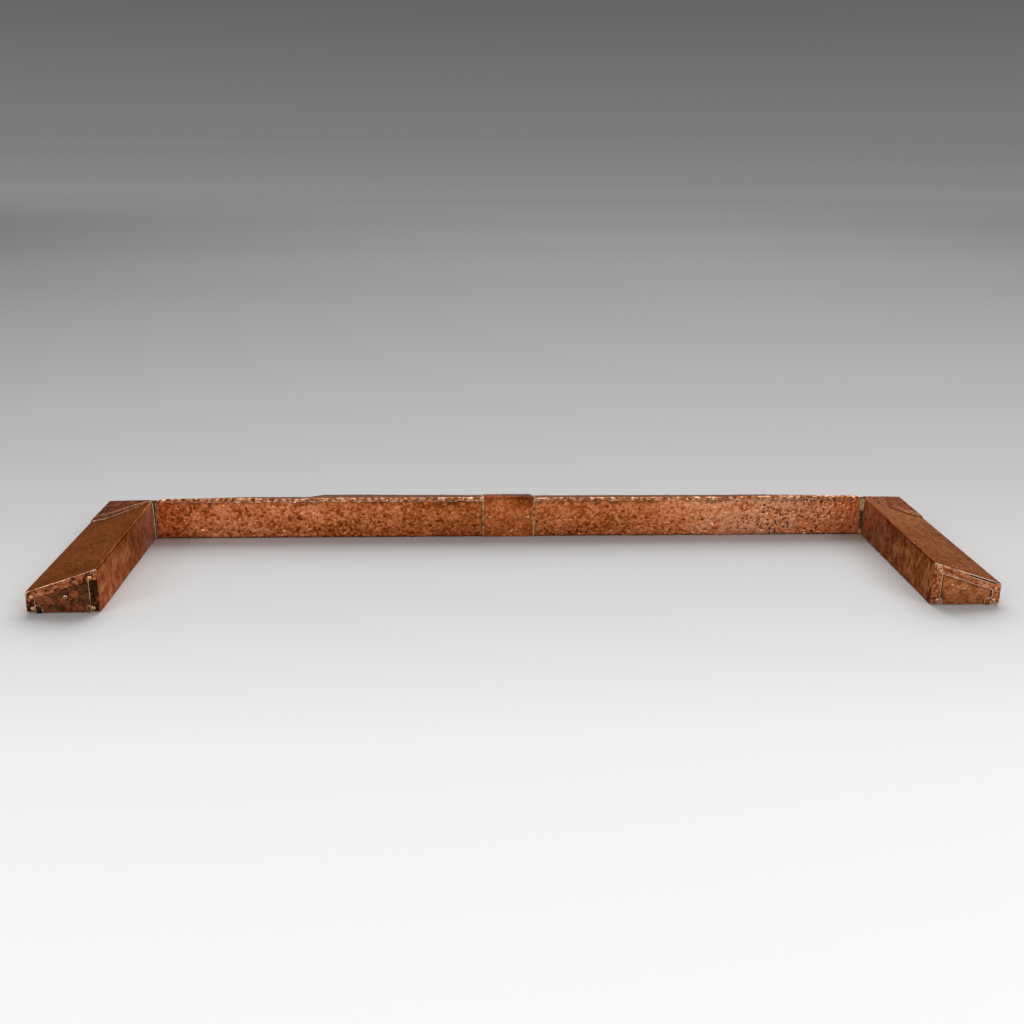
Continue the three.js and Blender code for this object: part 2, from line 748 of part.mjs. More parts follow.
// The top flap lies outermost, with rounded lower corners.
function topFlap() {
  const { slope, at } = topLine(LAYER);
  const length = Math.hypot(1, slope);
  const outward = new THREE.Vector3(-slope, 0, 1).divideScalar(length);
  const far = SECTION_WIDTH - LAYER;
  const drop = FLAP_WIDTH * length;
  const fold = [
    point(0, -FLAP_WIDTH),
    point(0, 0),
    point(LAYER + FLAP_BEND + FLAP_ROOT, 0),
  ];
  const strip = prism(
    foldedSheet(fold, FLAP_BEND),
    new THREE.Vector3(ARM_FIRE_X, TOP_FLAP_Y, at(0)),
    Y_AXIS,
    outward,
    new THREE.Vector3(far, 0, slope * far),
  );
  const corners = [
    point(SHEET, at(SHEET) - drop),
    point(SHEET, at(SHEET) + FLAP_WIDTH),
    point(far - SHEET, at(far - SHEET) + FLAP_WIDTH),
    point(far - SHEET, at(far - SHEET) - drop),
  ];
  const outline = easedOutline(corners, FLAP_CORNER);
  return strip.intersect(alongArm(TOP_FLAP_Y - BEYOND, TOP_FLAP_Y + BEYOND, outline));
}

// The side flaps stand under the top flap, cut off just below the slope.
function sideFlaps() {
  const far = SECTION_WIDTH - LAYER;
  const root = FLAP_BEND + FLAP_ROOT;
  const origin = new THREE.Vector3(ARM_FIRE_X, SIDE_FLAP_Y, 0);
  const height = Z_AXIS.clone().multiplyScalar(FIRE_HEIGHT);
  const fire = [point(root, 0), point(0, 0), point(0, FLAP_WIDTH)];
  const room = [point(0, far - FLAP_WIDTH), point(0, far), point(root, far)];
  const below = sectionCorners({ top: 2 * LAYER, room: LAYER, under: LAYER });
  const keep = alongArm(SIDE_FLAP_Y - BEYOND, SIDE_FLAP_Y + BEYOND, below);
  return [fire, room].map((fold) =>
    prism(foldedSheet(fold, FLAP_BEND), origin, Y_AXIS, X_AXIS, height).intersect(keep),
  );
}

// The ends of the turned-under feet are folded up beside the side flaps.
function footTabs() {
  const far = SECTION_WIDTH - LAYER;
  const fold = [point(FLAP_BEND + FLAP_ROOT, 0), point(0, 0), point(0, TAB_HEIGHT)];
  const clear = FLAP_WIDTH + TAB_SLIT;
  const spans = [
    [clear, FIRE_FLANGE],
    [far - ROOM_FLANGE, far - clear],
  ];
  return spans.map(([from, to]) =>
    prism(
      foldedSheet(fold, FLAP_BEND),
      new THREE.Vector3(ARM_FIRE_X + from, SIDE_FLAP_Y, 0),
      Y_AXIS,
      Z_AXIS,
      X_AXIS.clone().multiplyScalar(to - from),
    ),
  );
}

// ------------------------------------------------------------------ sleeve and solder

// The outer face of the sleeve in section, and the faces that it and its solder lie on.
function sleeveCorners(raise, out) {
  const roomHeight = roomHeightAt(0);
  return sectionCorners({
    fire: -out,
    top: -raise,
    room: -out,
    under: SLEEVE_FOOT,
    roomHeight,
  });
}

function centreSleeve() {
  const outline = foldedSheet(sleeveCorners(2 * LAYER, LAYER), WALL_BEND);
  return alongRail(SLEEVE_LEFT, SLEEVE_RIGHT, () => outline);
}

// A line of solder beside the sleeve, as high as the sleeve and down to the sheet beneath it.
function sleeveSolder(fromX, sheetRaise) {
  const outer = sleeveCorners(2 * LAYER, LAYER);
  const inner = sleeveCorners(sheetRaise + FIT, FIT).reverse();
  return alongRail(fromX, fromX + SLEEVE_SOLDER, () => [...outer, ...inner]);
}

// A hollow fillet up the inner corner, where the arm's fire wall meets the rail's.
function cornerSolder() {
  const leg = CORNER_SOLDER;
  const hollow = new THREE.QuadraticBezierCurve(
    point(-leg, 0),
    point(-CORNER_SOLDER_WAIST, -CORNER_SOLDER_WAIST),
    point(0, -leg),
  );
  const outline = [point(0, 0), ...hollow.getPoints(BEND_STEPS)];
  const foot = new THREE.Vector3(ARM_FIRE_X - FIT, RAIL_FIRE_Y - FIT, CORNER_SOLDER_FOOT);
  const height = FIRE_HEIGHT - WALL_BEND - LAYER - CORNER_SOLDER_FOOT;
  return prism(outline, foot, X_AXIS, Y_AXIS, Z_AXIS.clone().multiplyScalar(height));
}

// ------------------------------------------------------------------ assembly

const fender = new THREE.Group();

function addPiece(name, solid, look, group = fender) {
  const mesh = new THREE.Mesh(geometryOf(solid), new THREE.MeshStandardMaterial(look));
  mesh.name = name;
  group.add(mesh);
}

const joint = JOINT_GAP / 2;
const cornerX = ARM_FIRE_X - FIT;
addPiece("rail_core", drilled(railCore()), TIMBER);
addPiece("rail_fire_sheet_left", drilled(railFireSheet(-cornerX, SLEEVE_OFFSET - joint)), COPPER);
addPiece("rail_fire_sheet_right", drilled(railFireSheet(SLEEVE_OFFSET + joint, cornerX)), COPPER);
addPiece("rail_top_sheet_left", drilled(railTopLeft()), COPPER);
addPiece("rail_top_sheet_lapped", drilled(railTopLapped()), COPPER);
addPiece("rail_top_sheet_right", drilled(railTopRight()), COPPER);
addPiece("centre_sleeve", drilled(centreSleeve()), COPPER);
addPiece(
  "sleeve_solder_left",
  sleeveSolder(SLEEVE_LEFT - FIT - SLEEVE_SOLDER, LAYER),
  SOLDER,
);
addPiece("sleeve_solder_right", sleeveSolder(SLEEVE_RIGHT + FIT, 0), SOLDER);

onBothSides((side) => {
  addPiece(`${side}_arm_core`, drilled(onSide(side, armCore())), TIMBER);
  addPiece(`${side}_arm_sheet`, drilled(onSide(side, armSheet())), COPPER);
  addPiece(`${side}_end_plate`, drilled(onSide(side, endPlate())), DARK_COPPER);
  addPiece(`${side}_corner_solder`, onSide(side, cornerSolder()), SOLDER);
});

const fixings = new THREE.Group();
fasteners.forEach(({ name, solid, material }) => addPiece(name, solid, material, fixings));
fender.add(fixings);

export default fender;
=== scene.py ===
# A hearth fender of hammered copper sheet on timber, seen from the fire side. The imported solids
# give every size and place, and the pieces here stand on them. Camera, floor and lamps are in
# metres, and the pieces are worked out in millimetres.
import math

import bpy
import numpy as np
from mathutils import Matrix, Vector
from mathutils.noise import noise


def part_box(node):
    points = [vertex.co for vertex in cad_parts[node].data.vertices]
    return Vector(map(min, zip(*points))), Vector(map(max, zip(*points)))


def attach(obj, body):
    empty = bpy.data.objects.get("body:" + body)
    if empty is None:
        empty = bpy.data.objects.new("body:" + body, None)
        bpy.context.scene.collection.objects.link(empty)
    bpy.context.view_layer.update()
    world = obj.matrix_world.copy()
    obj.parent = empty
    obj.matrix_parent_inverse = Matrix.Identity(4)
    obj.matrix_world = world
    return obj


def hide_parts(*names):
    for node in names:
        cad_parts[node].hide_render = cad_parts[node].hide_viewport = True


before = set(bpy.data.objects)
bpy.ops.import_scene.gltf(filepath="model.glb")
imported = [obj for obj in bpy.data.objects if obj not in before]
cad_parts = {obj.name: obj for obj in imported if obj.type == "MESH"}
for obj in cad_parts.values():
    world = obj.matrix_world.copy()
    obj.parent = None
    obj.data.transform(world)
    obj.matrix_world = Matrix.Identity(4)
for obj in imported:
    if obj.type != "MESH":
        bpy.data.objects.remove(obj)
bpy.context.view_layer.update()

# ---------------------------------------------------------------- camera
# The photographer stood in front of the open side with a short telephoto lens, looking down
# on the rail and turned a little to the right.
CAMERA_FROM_END = 1.4763
CAMERA_RIGHT = -0.0813
CAMERA_UP = 0.6387
CAMERA_YAW = math.radians(2.57)
CAMERA_DOWN = math.radians(18.48)
CAMERA_ROLL = math.radians(0.49)
LENS = 40.1
SENSOR = 36
CLIP_NEAR, CLIP_FAR = 0.05, 1000

end_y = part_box("right_arm_sheet")[0].y

forward = Vector(
    (
        math.sin(CAMERA_YAW) * math.cos(CAMERA_DOWN),
        math.cos(CAMERA_YAW) * math.cos(CAMERA_DOWN),
        -math.sin(CAMERA_DOWN),
    )
)
level_right = Vector((math.cos(CAMERA_YAW), -math.sin(CAMERA_YAW), 0))
level_up = level_right.cross(forward)
right = level_right * math.cos(CAMERA_ROLL) + level_up * math.sin(CAMERA_ROLL)
up = level_up * math.cos(CAMERA_ROLL) - level_right * math.sin(CAMERA_ROLL)


def new_object(name, data):
    """An object with its data, linked to the scene."""
    thing = bpy.data.objects.new(name, data)
    bpy.context.collection.objects.link(thing)
    return thing


camera = new_object("camera", bpy.data.cameras.new("camera"))
camera.data.lens = LENS
camera.data.sensor_width = SENSOR
camera.data.clip_start, camera.data.clip_end = CLIP_NEAR, CLIP_FAR
turn = Matrix((right, up, -forward)).transposed().to_4x4()
camera.matrix_world = Matrix.Translation((CAMERA_RIGHT, end_y - CAMERA_FROM_END, CAMERA_UP)) @ turn
bpy.context.scene.camera = camera
bpy.context.scene.view_settings.view_transform = "Standard"

# ---------------------------------------------------------------- floor, air and lamps
# A flat floor of pale paper: nearly white in front and greyer with distance, where it meets a grey
# wall of air. It keeps only the soft shadow of the fender.
FLOOR_HALF = 400
# Places along Y in metres, each with the grey there: one of its three equal hex parts. The greys
# hold painted light and painted shade: they dip under the back box's pool of light and rise past
# it.
FLOOR_PAINTED_GREYS = (
    (-1.0, "EB"), (-0.7, "EC"), (-0.4, "D0"), (-0.2, "CC"), (0.4, "B3"), (0.8, "AA"), (1.5, "9A"),
    (2.2, "8F"), (3.2, "82"), (5.0, "7C"), (6.2, "86"), (7.0, "91"), (8.0, "A5"), (9.0, "B3"),
    (10.5, "B8"), (12.0, "B7"), (14.0, "B1"), (30.0, "A7"), (100.0, "9F"),
)
AIR_TONES = [(0, "7B7B7B"), (0.1, "646464"), (0.2, "8C8C8C"), (0.5, "B4B4B4")]
AIR_GLOW = [(0, "2C2C2C"), (0.5, "8A8A8A"), (1, "FFFFFF")]  # from in front, above and behind
AIR_LIGHT = 1.3


def linear(hex_colour):
    """An sRGB hex colour as the linear colour that a shader takes."""
    parts = [int(hex_colour[i : i + 2], 16) / 255 for i in (0, 2, 4)]
    return [p / 12.92 if p <= 0.04045 else ((p + 0.055) / 1.055) ** 2.4 for p in parts] + [1]


def connect(tree, node, inputs):
    """Gives a node's inputs their sockets or plain values."""
    for name, value in inputs.items():
        if isinstance(value, bpy.types.NodeSocket):
            tree.links.new(value, node.inputs[name])
        else:
            node.inputs[name].default_value = value


def add_node(tree, kind, inputs=None, **settings):
    """A node with its settings, and with a socket or a plain value for each input named."""
    node = tree.nodes.new(kind)
    for name, value in settings.items():
        setattr(node, name, value)
    connect(tree, node, inputs or {})
    return node


def ramp(tree, value, stops):
    """The colour of a value on a ramp, whose stops are pairs of a place and a hex colour."""
    node = add_node(tree, "ShaderNodeValToRGB", {"Fac": value})
    elements = node.color_ramp.elements
    while len(elements) < len(stops):
        elements.new(1)
    for element, (place, colour) in zip(elements, stops):
        element.position = place
        element.color = linear(colour)
    return node.outputs[0]


def carried(tree, value, low, high, to_low=0, to_high=1):
    """A value carried over from one range to another, and held there."""
    ranges = {"From Min": low, "From Max": high, "To Min": to_low, "To Max": to_high}
    return add_node(tree, "ShaderNodeMapRange", {"Value": value, **ranges}).outputs[0]


def combined(tree, operation, *values):
    """What a maths node makes of its sockets or plain values."""
    return add_node(tree, "ShaderNodeMath", dict(enumerate(values)), operation=operation).outputs[0]


def new_material(name):
    """A new material, its node tree, its shader and the place of a point on the object."""
    material = bpy.data.materials.new(name)
    material.use_nodes = True
    tree = material.node_tree
    tree.nodes.clear()
    shader = add_node(tree, "ShaderNodeBsdfPrincipled")
    add_node(tree, "ShaderNodeOutputMaterial", {"Surface": shader.outputs[0]})
    return material, tree, shader, add_node(tree, "ShaderNodeTexCoord").outputs["Object"]


floor_mesh = bpy.data.meshes.new("floor")
floor_mesh.from_pydata(
    [(x, y, 0) for x, y in ((-1, -1), (1, -1), (1, 1), (-1, 1))], [], [(0, 1, 2, 3)]
)
floor_mesh.transform(Matrix.Scale(FLOOR_HALF, 4))
floor = new_object("floor", floor_mesh)

paper, tree, shader, place = new_material("matt paper sweep")
split = add_node(tree, "ShaderNodeSeparateXYZ", {"Vector": place})
near, far = FLOOR_PAINTED_GREYS[0][0], FLOOR_PAINTED_GREYS[-1][0]
along = carried(tree, split.outputs["Y"], near, far)
# The floor's greys are painted to offset how the lamps light it.
paper_painted_tones = [((y - near) / (far - near), grey * 3) for y, grey in FLOOR_PAINTED_GREYS]
paper_painted_tone = ramp(tree, along, paper_painted_tones)
connect(
    tree, shader, {"Base Color": paper_painted_tone, "Roughness": 0.95, "Specular IOR Level": 0.1}
)
floor.data.materials.append(paper)

world = bpy.data.worlds.new("studio air")
bpy.context.scene.world = world
world.use_nodes = True
air = world.node_tree
air.nodes.clear()
way = add_node(air, "ShaderNodeTexCoord")
part = add_node(air, "ShaderNodeSeparateXYZ", {"Vector": way.outputs["Generated"]})
air_tone = ramp(air, part.outputs["Z"], AIR_TONES)
seen = add_node(air, "ShaderNodeBackground", {"Color": air_tone, "Strength": 1.0})
glow = ramp(air, carried(air, part.outputs["Y"], -1, 1), AIR_GLOW)
lit = add_node(air, "ShaderNodeBackground", {"Color": glow, "Strength": AIR_LIGHT})
path = add_node(air, "ShaderNodeLightPath")
direct = combined(air, "MAXIMUM", path.outputs["Is Camera Ray"], path.outputs["Is Glossy Ray"])
through = combined(air, "MAXIMUM", direct, path.outputs["Is Transmission Ray"])
air_mix = add_node(
    air, "ShaderNodeMixShader", {0: through, 1: lit.outputs[0], 2: seen.outputs[0]}
)
add_node(air, "ShaderNodeOutputWorld", {"Surface": air_mix.outputs[0]})

# A broad soft box high behind on the right throws the shadow forward and to the left, and a
# smaller one hangs each side of the camera.
SOFT_BOXES = {  # where each hangs, the X that it is turned to, its width and depth, its watts
    "back box": ((1.2, 4.4, 4.8), 1.2, (7.0, 5.0), 380),
    "left box": ((-2.4, -2.2, 1.7), 0, (1.4, 1.4), 26),
    "right box": ((2.2, -2.4, 1.9), 0, (1.4, 1.4), 30),
}
for name, (spot, aim_x, (wide, deep), watts) in SOFT_BOXES.items():
    lamp = bpy.data.lights.new(name, "AREA")
    lamp.shape = "RECTANGLE"
    lamp.size, lamp.size_y = wide, deep
    lamp.energy = watts
    box = new_object(name, lamp)
    box.location = spot
    box.rotation_mode = "QUATERNION"
    box.rotation_quaternion = (Vector((aim_x, 0, 0)) - Vector(spot)).to_track_quat("-Z", "Y")

# ---------------------------------------------------------------- timber under the copper
# Three lengths of plain sawn softwood, tall on the fire side and mitred at the corners. The
# copper hides them but for a strip along the underside.
RING_MM = 3.5
WAVE_UNIT = 20  # the wave pattern's own factor on its scale
ALONG_LOG = 0.04  # how far the rings are drawn out along the lengths
SAW_MARK_MM, SAW_DEEP_MM = 1.2, 0.3


def blotches(tree, place, size_mm, detail, roughness=0.5):
    """A cloudy pattern with blotches of about this size, as a value."""
    return add_node(
        tree,
        "ShaderNodeTexNoise",
        {"Vector": place, "Scale": 1000 / size_mm, "Detail": detail, "Roughness": roughness},
    ).outputs["Fac"]


softwood, tree, shader, place = new_material("sawn softwood")
stretch = add_node(
    tree, "ShaderNodeMapping", {"Vector": place, "Scale": (ALONG_LOG, ALONG_LOG, 1)}
)
rings = add_node(
    tree,
    "ShaderNodeTexWave",
    {
        "Vector": stretch.outputs[0],
        "Scale": 1000 / RING_MM / WAVE_UNIT,
        "Distortion": 6,
        "Detail": 3,
        "Detail Scale": 1.5,
    },
)
grain = ramp(tree, rings.outputs["Fac"], [(0.1, "6B4A2C"), (0.55, "97734A"), (0.9, "A98555")])
sawn = blotches(tree, place, SAW_MARK_MM, 2)
saw_bump = add_node(
    tree, "ShaderNodeBump", {"Height": sawn, "Strength": 0.4, "Distance": SAW_DEEP_MM / 1000}
)
connect(
    tree, shader, {"Base Color": grain, "Normal": saw_bump.outputs[0], "Roughness": 0.85}
)


def paint(node_name, material):
    """Gives a solid of the frame its finish."""
    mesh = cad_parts[node_name].data
    mesh.materials.clear()
    mesh.materials.append(material)


for node_name in ("rail_core", "left_arm_core", "right_arm_core"):
    paint(node_name, softwood)

# ---------------------------------------------------------------- screws across the mitres
# Plain steel screws with flat heads, sunk in the timber and hidden by the copper.
TURNING_MM = 0.4

steel, tree, shader, place = new_material("plain turned steel")
turned = ramp(tree, blotches(tree, place, TURNING_MM, 2), [(0.3, "5F5E60"), (0.7, "86868A")])
connect(tree, shader, {"Base Color": turned, "Metallic": 1, "Roughness": 0.45})
for node_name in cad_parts:
    if "mitre_screw" in node_name:
        paint(node_name, steel)

# ---------------------------------------------------------------- copper on the rail's fire wall
# Two lengths of sheet stand against the rail's timber, hammered all over and pitted by soot and
# damp. Their feet are turned under and tacked, and they butt under the sleeve in the middle.
SHEET_MM, FIT_MM = 1.0, 0.3
LAYER_MM = SHEET_MM + FIT_MM
WALL_BEND_MM, FLAP_BEND_MM = 2.4, 1.6
FIRE_HEIGHT_MM = 67.0
FIRE_FLANGE_MM = 17.0
LIP_MM = 4.5
FINE_GRID_MM, GRID_MM = 1.5, 2.2
FOLD_STEPS = 5
FOLD_WORN, FOLD_FOOT_WORN = 0.85, 0.4  # how bright a fold is rubbed, and the last of it
SHEET_CREASE, CAST_CREASE, PIN_CREASE = 55, 60, 50  # degrees past which an edge stays sharp
# Width of each kind of blow and mark of the hammered face, and how high or deep it is.
BUCKLE_MM, HAMMER_MM, PEBBLE_MM, GRAIN_MM = 85.0, 17.0, 5.2, 2.6
BUCKLE_HIGH, HAMMER_HIGH, PEBBLE_HIGH = 0.55, 0.3, 0.6
PIT_MM, SPECK_MM, PIT_DEEP = 4.2, 2.2, 0.65
SCALLOP_MM, SCALLOP_DROP_MM = 33.0, 6
# Height from the hearth over which the painted shade at the foot gives out.
FOOT_SHADE_MM = (1.5, 3.5)
# Where along the rail the copper is brown (0) or rubbed pink (1), from the left to the right.
RAIL_RUBBED = (
    (-584, -540, -440, -320, -200, -60, 60, 170, 260, 330, 440, 500, 584),
    (0.6, 0.66, 0.68, 0.58, 0.54, 0.52, 0.56, 0.62, 0.72, 0.92, 0.94, 0.86, 0.72),
)
# How strongly the pebbled texture of the hammering shows, in the same way.
RAIL_PEBBLED = (
    (-584, -540, -330, -200, -60, 60, 200, 300, 480, 584),
    (0.6, 0.9, 1.0, 0.7, 0.4, 0.4, 0.6, 0.95, 1.0, 0.6),
)
# How thickly the pits lie along the rail, in the same way.
RAIL_PITTED = (
    (-584, -420, -330, -230, -110, -50, 40, 190, 250, 330, 420, 500, 560),
    (0.15, 0.35, 0.25, 0.5, 0.6, 0.8, 0.85, 0.6, 0.3, 0.4, 0.8, 0.85, 0.2),
)

fire_y = 1000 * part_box("rail_fire_sheet_left")[0].y
room_y = 1000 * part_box("rail_top_sheet_right")[1].y
arm_x = 1000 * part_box("right_arm_sheet")[0].x
section_width = room_y - fire_y


def steps_for(length_mm, grid_mm=GRID_MM):
    """How many steps of a grid a length takes."""
    return max(2, round(length_mm / grid_mm))


def stations(low, high, grid_mm):
    """Evenly spaced places between two in mm."""
    return np.linspace(low, high, steps_for(abs(high - low), grid_mm) + 1)


def inward_of(direction):
    """The side of a section path on which the metal and the timber lie: its right."""
    return np.array([direction[1], -direction[0]])


def fold_line(corners, radius, steps):
    """Points along a folded section in mm: across, height, and 1 on a fold or 0 off it. Each
    straight stretch has its number of steps, and each fold FOLD_STEPS."""
    corners = [np.array(c, float) for c in corners]
    arcs = []
    for before, corner, after in zip(corners, corners[1:], corners[2:]):
        arriving = (corner - before) / np.linalg.norm(corner - before)
        leaving = (after - corner) / np.linalg.norm(after - corner)
        bend = math.acos(np.clip(arriving @ leaving, -1, 1))
        inward = inward_of(arriving)
        centre = corner - arriving * radius * math.tan(bend / 2) + inward * radius
        arcs.append(
            [
                centre + radius * (arriving * math.sin(a) - inward * math.cos(a))
                for a in np.linspace(0, bend, FOLD_STEPS + 1)
            ]
        )
    points, worn = [corners[0]], [0.0]
    for i, count in enumerate(steps):
        start = points[-1]
        end = arcs[i][0] if i < len(arcs) else corners[-1]
        for k in range(1, count + 1):
            points.append(start + (end - start) * k / count)
            worn.append(0.0)
        if i < len(arcs):
            points.extend(arcs[i][1:])
            worn.extend([FOLD_WORN] * (FOLD_STEPS - 1) + [FOLD_FOOT_WORN])
    return np.column_stack([points, worn])


def across_rail(x, line):
    """A row of a sheet where the section stands across the rail at one x, or at one for each of
    its points: x, y, z and worn."""
    return np.column_stack([np.full(len(line), x), fire_y + line[:, 0], line[:, 1:]])


def ease(value, low, high):
    """0 below low, 1 above high, and an easy rise between."""
    t = min(max((value - low) / (high - low), 0), 1)
    return t * t * (3 - 2 * t)


def hammered(p, pitted, pebbled):
    """Height in mm of hammered copper at a point in mm, depth of its pits from 0 to 1, and how
    far its pebbled grain stands out there, from about -0.7 to 0.7."""
    pebble = noise(p / PEBBLE_MM) + 0.7 * noise(p / GRAIN_MM)
    height = BUCKLE_HIGH * noise(p / BUCKLE_MM) + HAMMER_HIGH * noise(p / HAMMER_MM)
    gate = 0.6 - 0.34 * pitted
    pit = ease(noise(p / PIT_MM + Vector((1, 9, 4))), gate, gate + 0.16)
    speck = ease(noise(p / SPECK_MM + Vector((5, 2, 8))), gate, gate + 0.2)
    hollow = ease(-pebble, 0.3, 0.75)
    pit = max(pit, 0.75 * speck, 0.45 * pebbled * hollow)
    return height + PEBBLE_HIGH * pebbled * pebble - PIT_DEEP * pit, pit, pebble


def wander(x, size_mm, *seed):
    """An uneven swing along a line, from -1 to 1."""
    return noise(Vector((x / size_mm, *seed)))


def rail_face(p, upright):
    """Height, pits and rubbing of the fire wall: high spots are rubbed, a painted shade of the lip
    with soot in it hangs in scallops under the lip's wavy edge, and the foot is darkened with
    painted shade."""
    pitted = np.interp(p.x, *RAIL_PITTED) + 0.35 * noise(p / 40)
    pebbled = np.interp(p.x, *RAIL_PEBBLED)
    height, pit, pebble = hammered(p, pitted, pebbled)
    drift = wander(p.x, 60, 3, 1)
    scallop = 0.5 + 0.5 * math.sin(2 * math.pi * p.x / SCALLOP_MM + 3 * drift)
    lip_edge = FIRE_HEIGHT_MM - LIP_MM
    below = lip_edge - p.z - SCALLOP_DROP_MM * scallop * (0.5 + drift) + 2 * pebble
    # Painted shade under the lip, partly soot: its scallops follow the lip's wavy edge.
    soot_and_painted_shade = (1 - ease(below, 0, 5)) * (0.42 + 0.5 * drift)
    # Painted shade along the foot of the wall, where it meets the hearth.
    foot_painted_shade = 0.6 * (1 - ease(p.z, *FOOT_SHADE_MM))
    rubbed = np.interp(p.x, *RAIL_RUBBED) + 0.15 * noise(p / 30 + Vector((2, 2, 2)))
    return height, max(pit, soot_and_painted_shade, foot_painted_shade), rubbed + (0.12 + 0.3 * pebbled) * pebble


def new_piece(name, points_mm, faces, layers, crease):
    """A smooth piece with layers of values on its points, sharp where it turns by more than its
    crease in degrees."""
    mesh = bpy.data.meshes.new(name)
    mesh.from_pydata((np.asarray(points_mm) / 1000).tolist(), [], faces)
    for label, values in layers.items():
        layer = mesh.attributes.new(label, "FLOAT", "POINT")
        layer.data.foreach_set("value", np.asarray(values, np.float32))
    mesh.shade_smooth()
    mesh.set_sharp_from_angle(angle=math.radians(crease))
    return new_object(name, mesh)


def sheet(name, panels, relief, gauge_mm=SHEET_MM - 0.1):
    """One piece of sheet metal from panels of rows of points in mm (x, y, z, worn), which join
    where their borders meet. The relief is worked into its face, and its back stays plain. Its
    raw edges are bright, but for those where worn is below 0."""
    points, quads, start = [], [], 0
    for panel in panels:
        rows, columns = panel.shape[:2]
        index = start + np.arange(rows * columns).reshape(rows, columns)
        around = [index[:-1, :-1], index[1:, :-1], index[1:, 1:], index[:-1, 1:]]
        quads.append(np.stack(around, axis=-1).reshape(-1, 4))
        points.append(panel.reshape(-1, 4))
        start += rows * columns
    points = np.concatenate(points)
    _, first, merged = np.unique(
        np.round(points[:, :3], 3), axis=0, return_index=True, return_inverse=True
    )
    quads = merged.reshape(-1)[np.concatenate(quads)]
    points = points[first]
    base, worn = points[:, :3], points[:, 3].copy()
    facing = np.cross(base[quads[:, 2]] - base[quads[:, 0]], base[quads[:, 3]] - base[quads[:, 1]])
    normals = np.zeros_like(base)
    for corner in range(4):
        np.add.at(normals, quads[:, corner], facing)
    normals /= np.linalg.norm(normals, axis=1, keepdims=True)

    edges = np.concatenate([quads[:, [k, (k + 1) % 4]] for k in range(4)])
    _, inverse, counts = np.unique(
        np.sort(edges, axis=1), axis=0, return_inverse=True, return_counts=True
    )
    rim = edges[counts[inverse.reshape(-1)] == 1]
    at_rim = rim.reshape(-1)
    worn[at_rim] = np.where(worn[at_rim] < 0, 0, 1)

    worked = np.array([relief(Vector(p), 1 - abs(n[2])) for p, n in zip(base, normals)])
    face = base + normals * worked[:, :1]
    face[:, 2] = np.maximum(face[:, 2], 0)
    back = base - normals * gauge_mm
    count = len(base)
    faces = np.concatenate(
        [
            quads,
            quads[:, ::-1] + count,
            np.column_stack([rim[:, 1], rim[:, 0], rim[:, 0] + count, rim[:, 1] + count]),
        ]
    )
    # The pit layer holds pits and soot, and painted shade where a face function puts it there.
    layers = {"pit": worked[:, 1], "rubbed": worked[:, 2], "worn": worn}
    layers = {label: np.tile(values, 2) for label, values in layers.items()}
    return new_piece(name, np.concatenate([face, back]), faces.tolist(), layers, SHEET_CREASE)


def stand_for(piece, material, node_name):
    """Finishes a piece that stands for a solid of the frame."""
    piece.data.materials.append(material)
    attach(piece, "root")
    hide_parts(node_name)


CLOUD_MM, FRECKLE_MM, DIMPLE_MM = 70, 8, 4.5
GRIT_DEEP_MM = 0.4


def blended(tree, factor, first, second):
    """The colour that lies between two by a factor from 0 to 1."""
    inputs = {0: factor, 6: first, 7: second}
    return add_node(tree, "ShaderNodeMix", inputs, data_type="RGBA").outputs[2]


def layer_of(tree, label):
    """The value that a mesh carries on its points under this label."""
    return add_node(tree, "ShaderNodeAttribute", attribute_name=label).outputs["Fac"]


def old_copper(
    name,
    tones,
    bright,
    gloss,
    mottle,
    peel_mm,
    edge_gate=(0.42, 0.62),
    grain=0.3,
    grain_mm=2,
    upright_grain=1,
):
    """Old waxed copper. Soot and handling darken it to brown, rubbing brings out the pink metal,
    pits are nearly black and raw edges are bright, so the eye sees age before it sees metal.
    Painted shade carried in the pit layer turns nearly black in the same way. Its skin is dimpled
    like a peel, the edge gate says how broken its bright edges are, and its fine grain is stretched
    into upright strokes where upright_grain is below 1."""
    material, tree, shader, place = new_material(name)
    clouds = blotches(tree, place, CLOUD_MM, 4, 0.6)
    freckles = blotches(tree, place, FRECKLE_MM, 5, 0.7)
    both = combined(tree, "ADD", clouds, freckles)
    mottled = combined(tree, "MULTIPLY_ADD", both, mottle, layer_of(tree, "rubbed"))
    strokes = add_node(
        tree, "ShaderNodeMapping", {"Vector": place, "Scale": (1, 1, upright_grain)}
    )
    grit = blotches(tree, strokes.outputs[0], grain_mm, 3, 0.6)
    grained = combined(tree, "MULTIPLY_ADD", grit, grain, mottled)
    level = combined(tree, "SUBTRACT", grained, mottle + grain / 2)
    # Pits, soot and painted shade all turn nearly black here.
    soot_and_painted_shade = blended(tree, layer_of(tree, "pit"), ramp(tree, level, tones), linear("361C0D"))
    broken = combined(tree, "MULTIPLY", layer_of(tree, "worn"), freckles)
    edged = blended(tree, carried(tree, broken, *edge_gate), soot_and_painted_shade, linear(bright))
    polish = carried(tree, freckles, 0.3, 0.7, gloss - 0.08, gloss + 0.12)
    dimples = blotches(tree, place, DIMPLE_MM, 2)
    peel = add_node(tree, "ShaderNodeBump", {"Height": dimples, "Distance": peel_mm / 1000})
    bump = add_node(
        tree,
        "ShaderNodeBump",
        {
            "Height": grit,
            "Strength": 0.5,
            "Distance": GRIT_DEEP_MM / 1000,
            "Normal": peel.outputs[0],
        },
    )
    finish = {
        "Base Color": edged,
        "Roughness": polish,
        "Normal": bump.outputs[0],
        "Metallic": 0.86,
        "Specular Tint": linear("8C4A22"),
    }
    connect(tree, shader, finish)
    return material


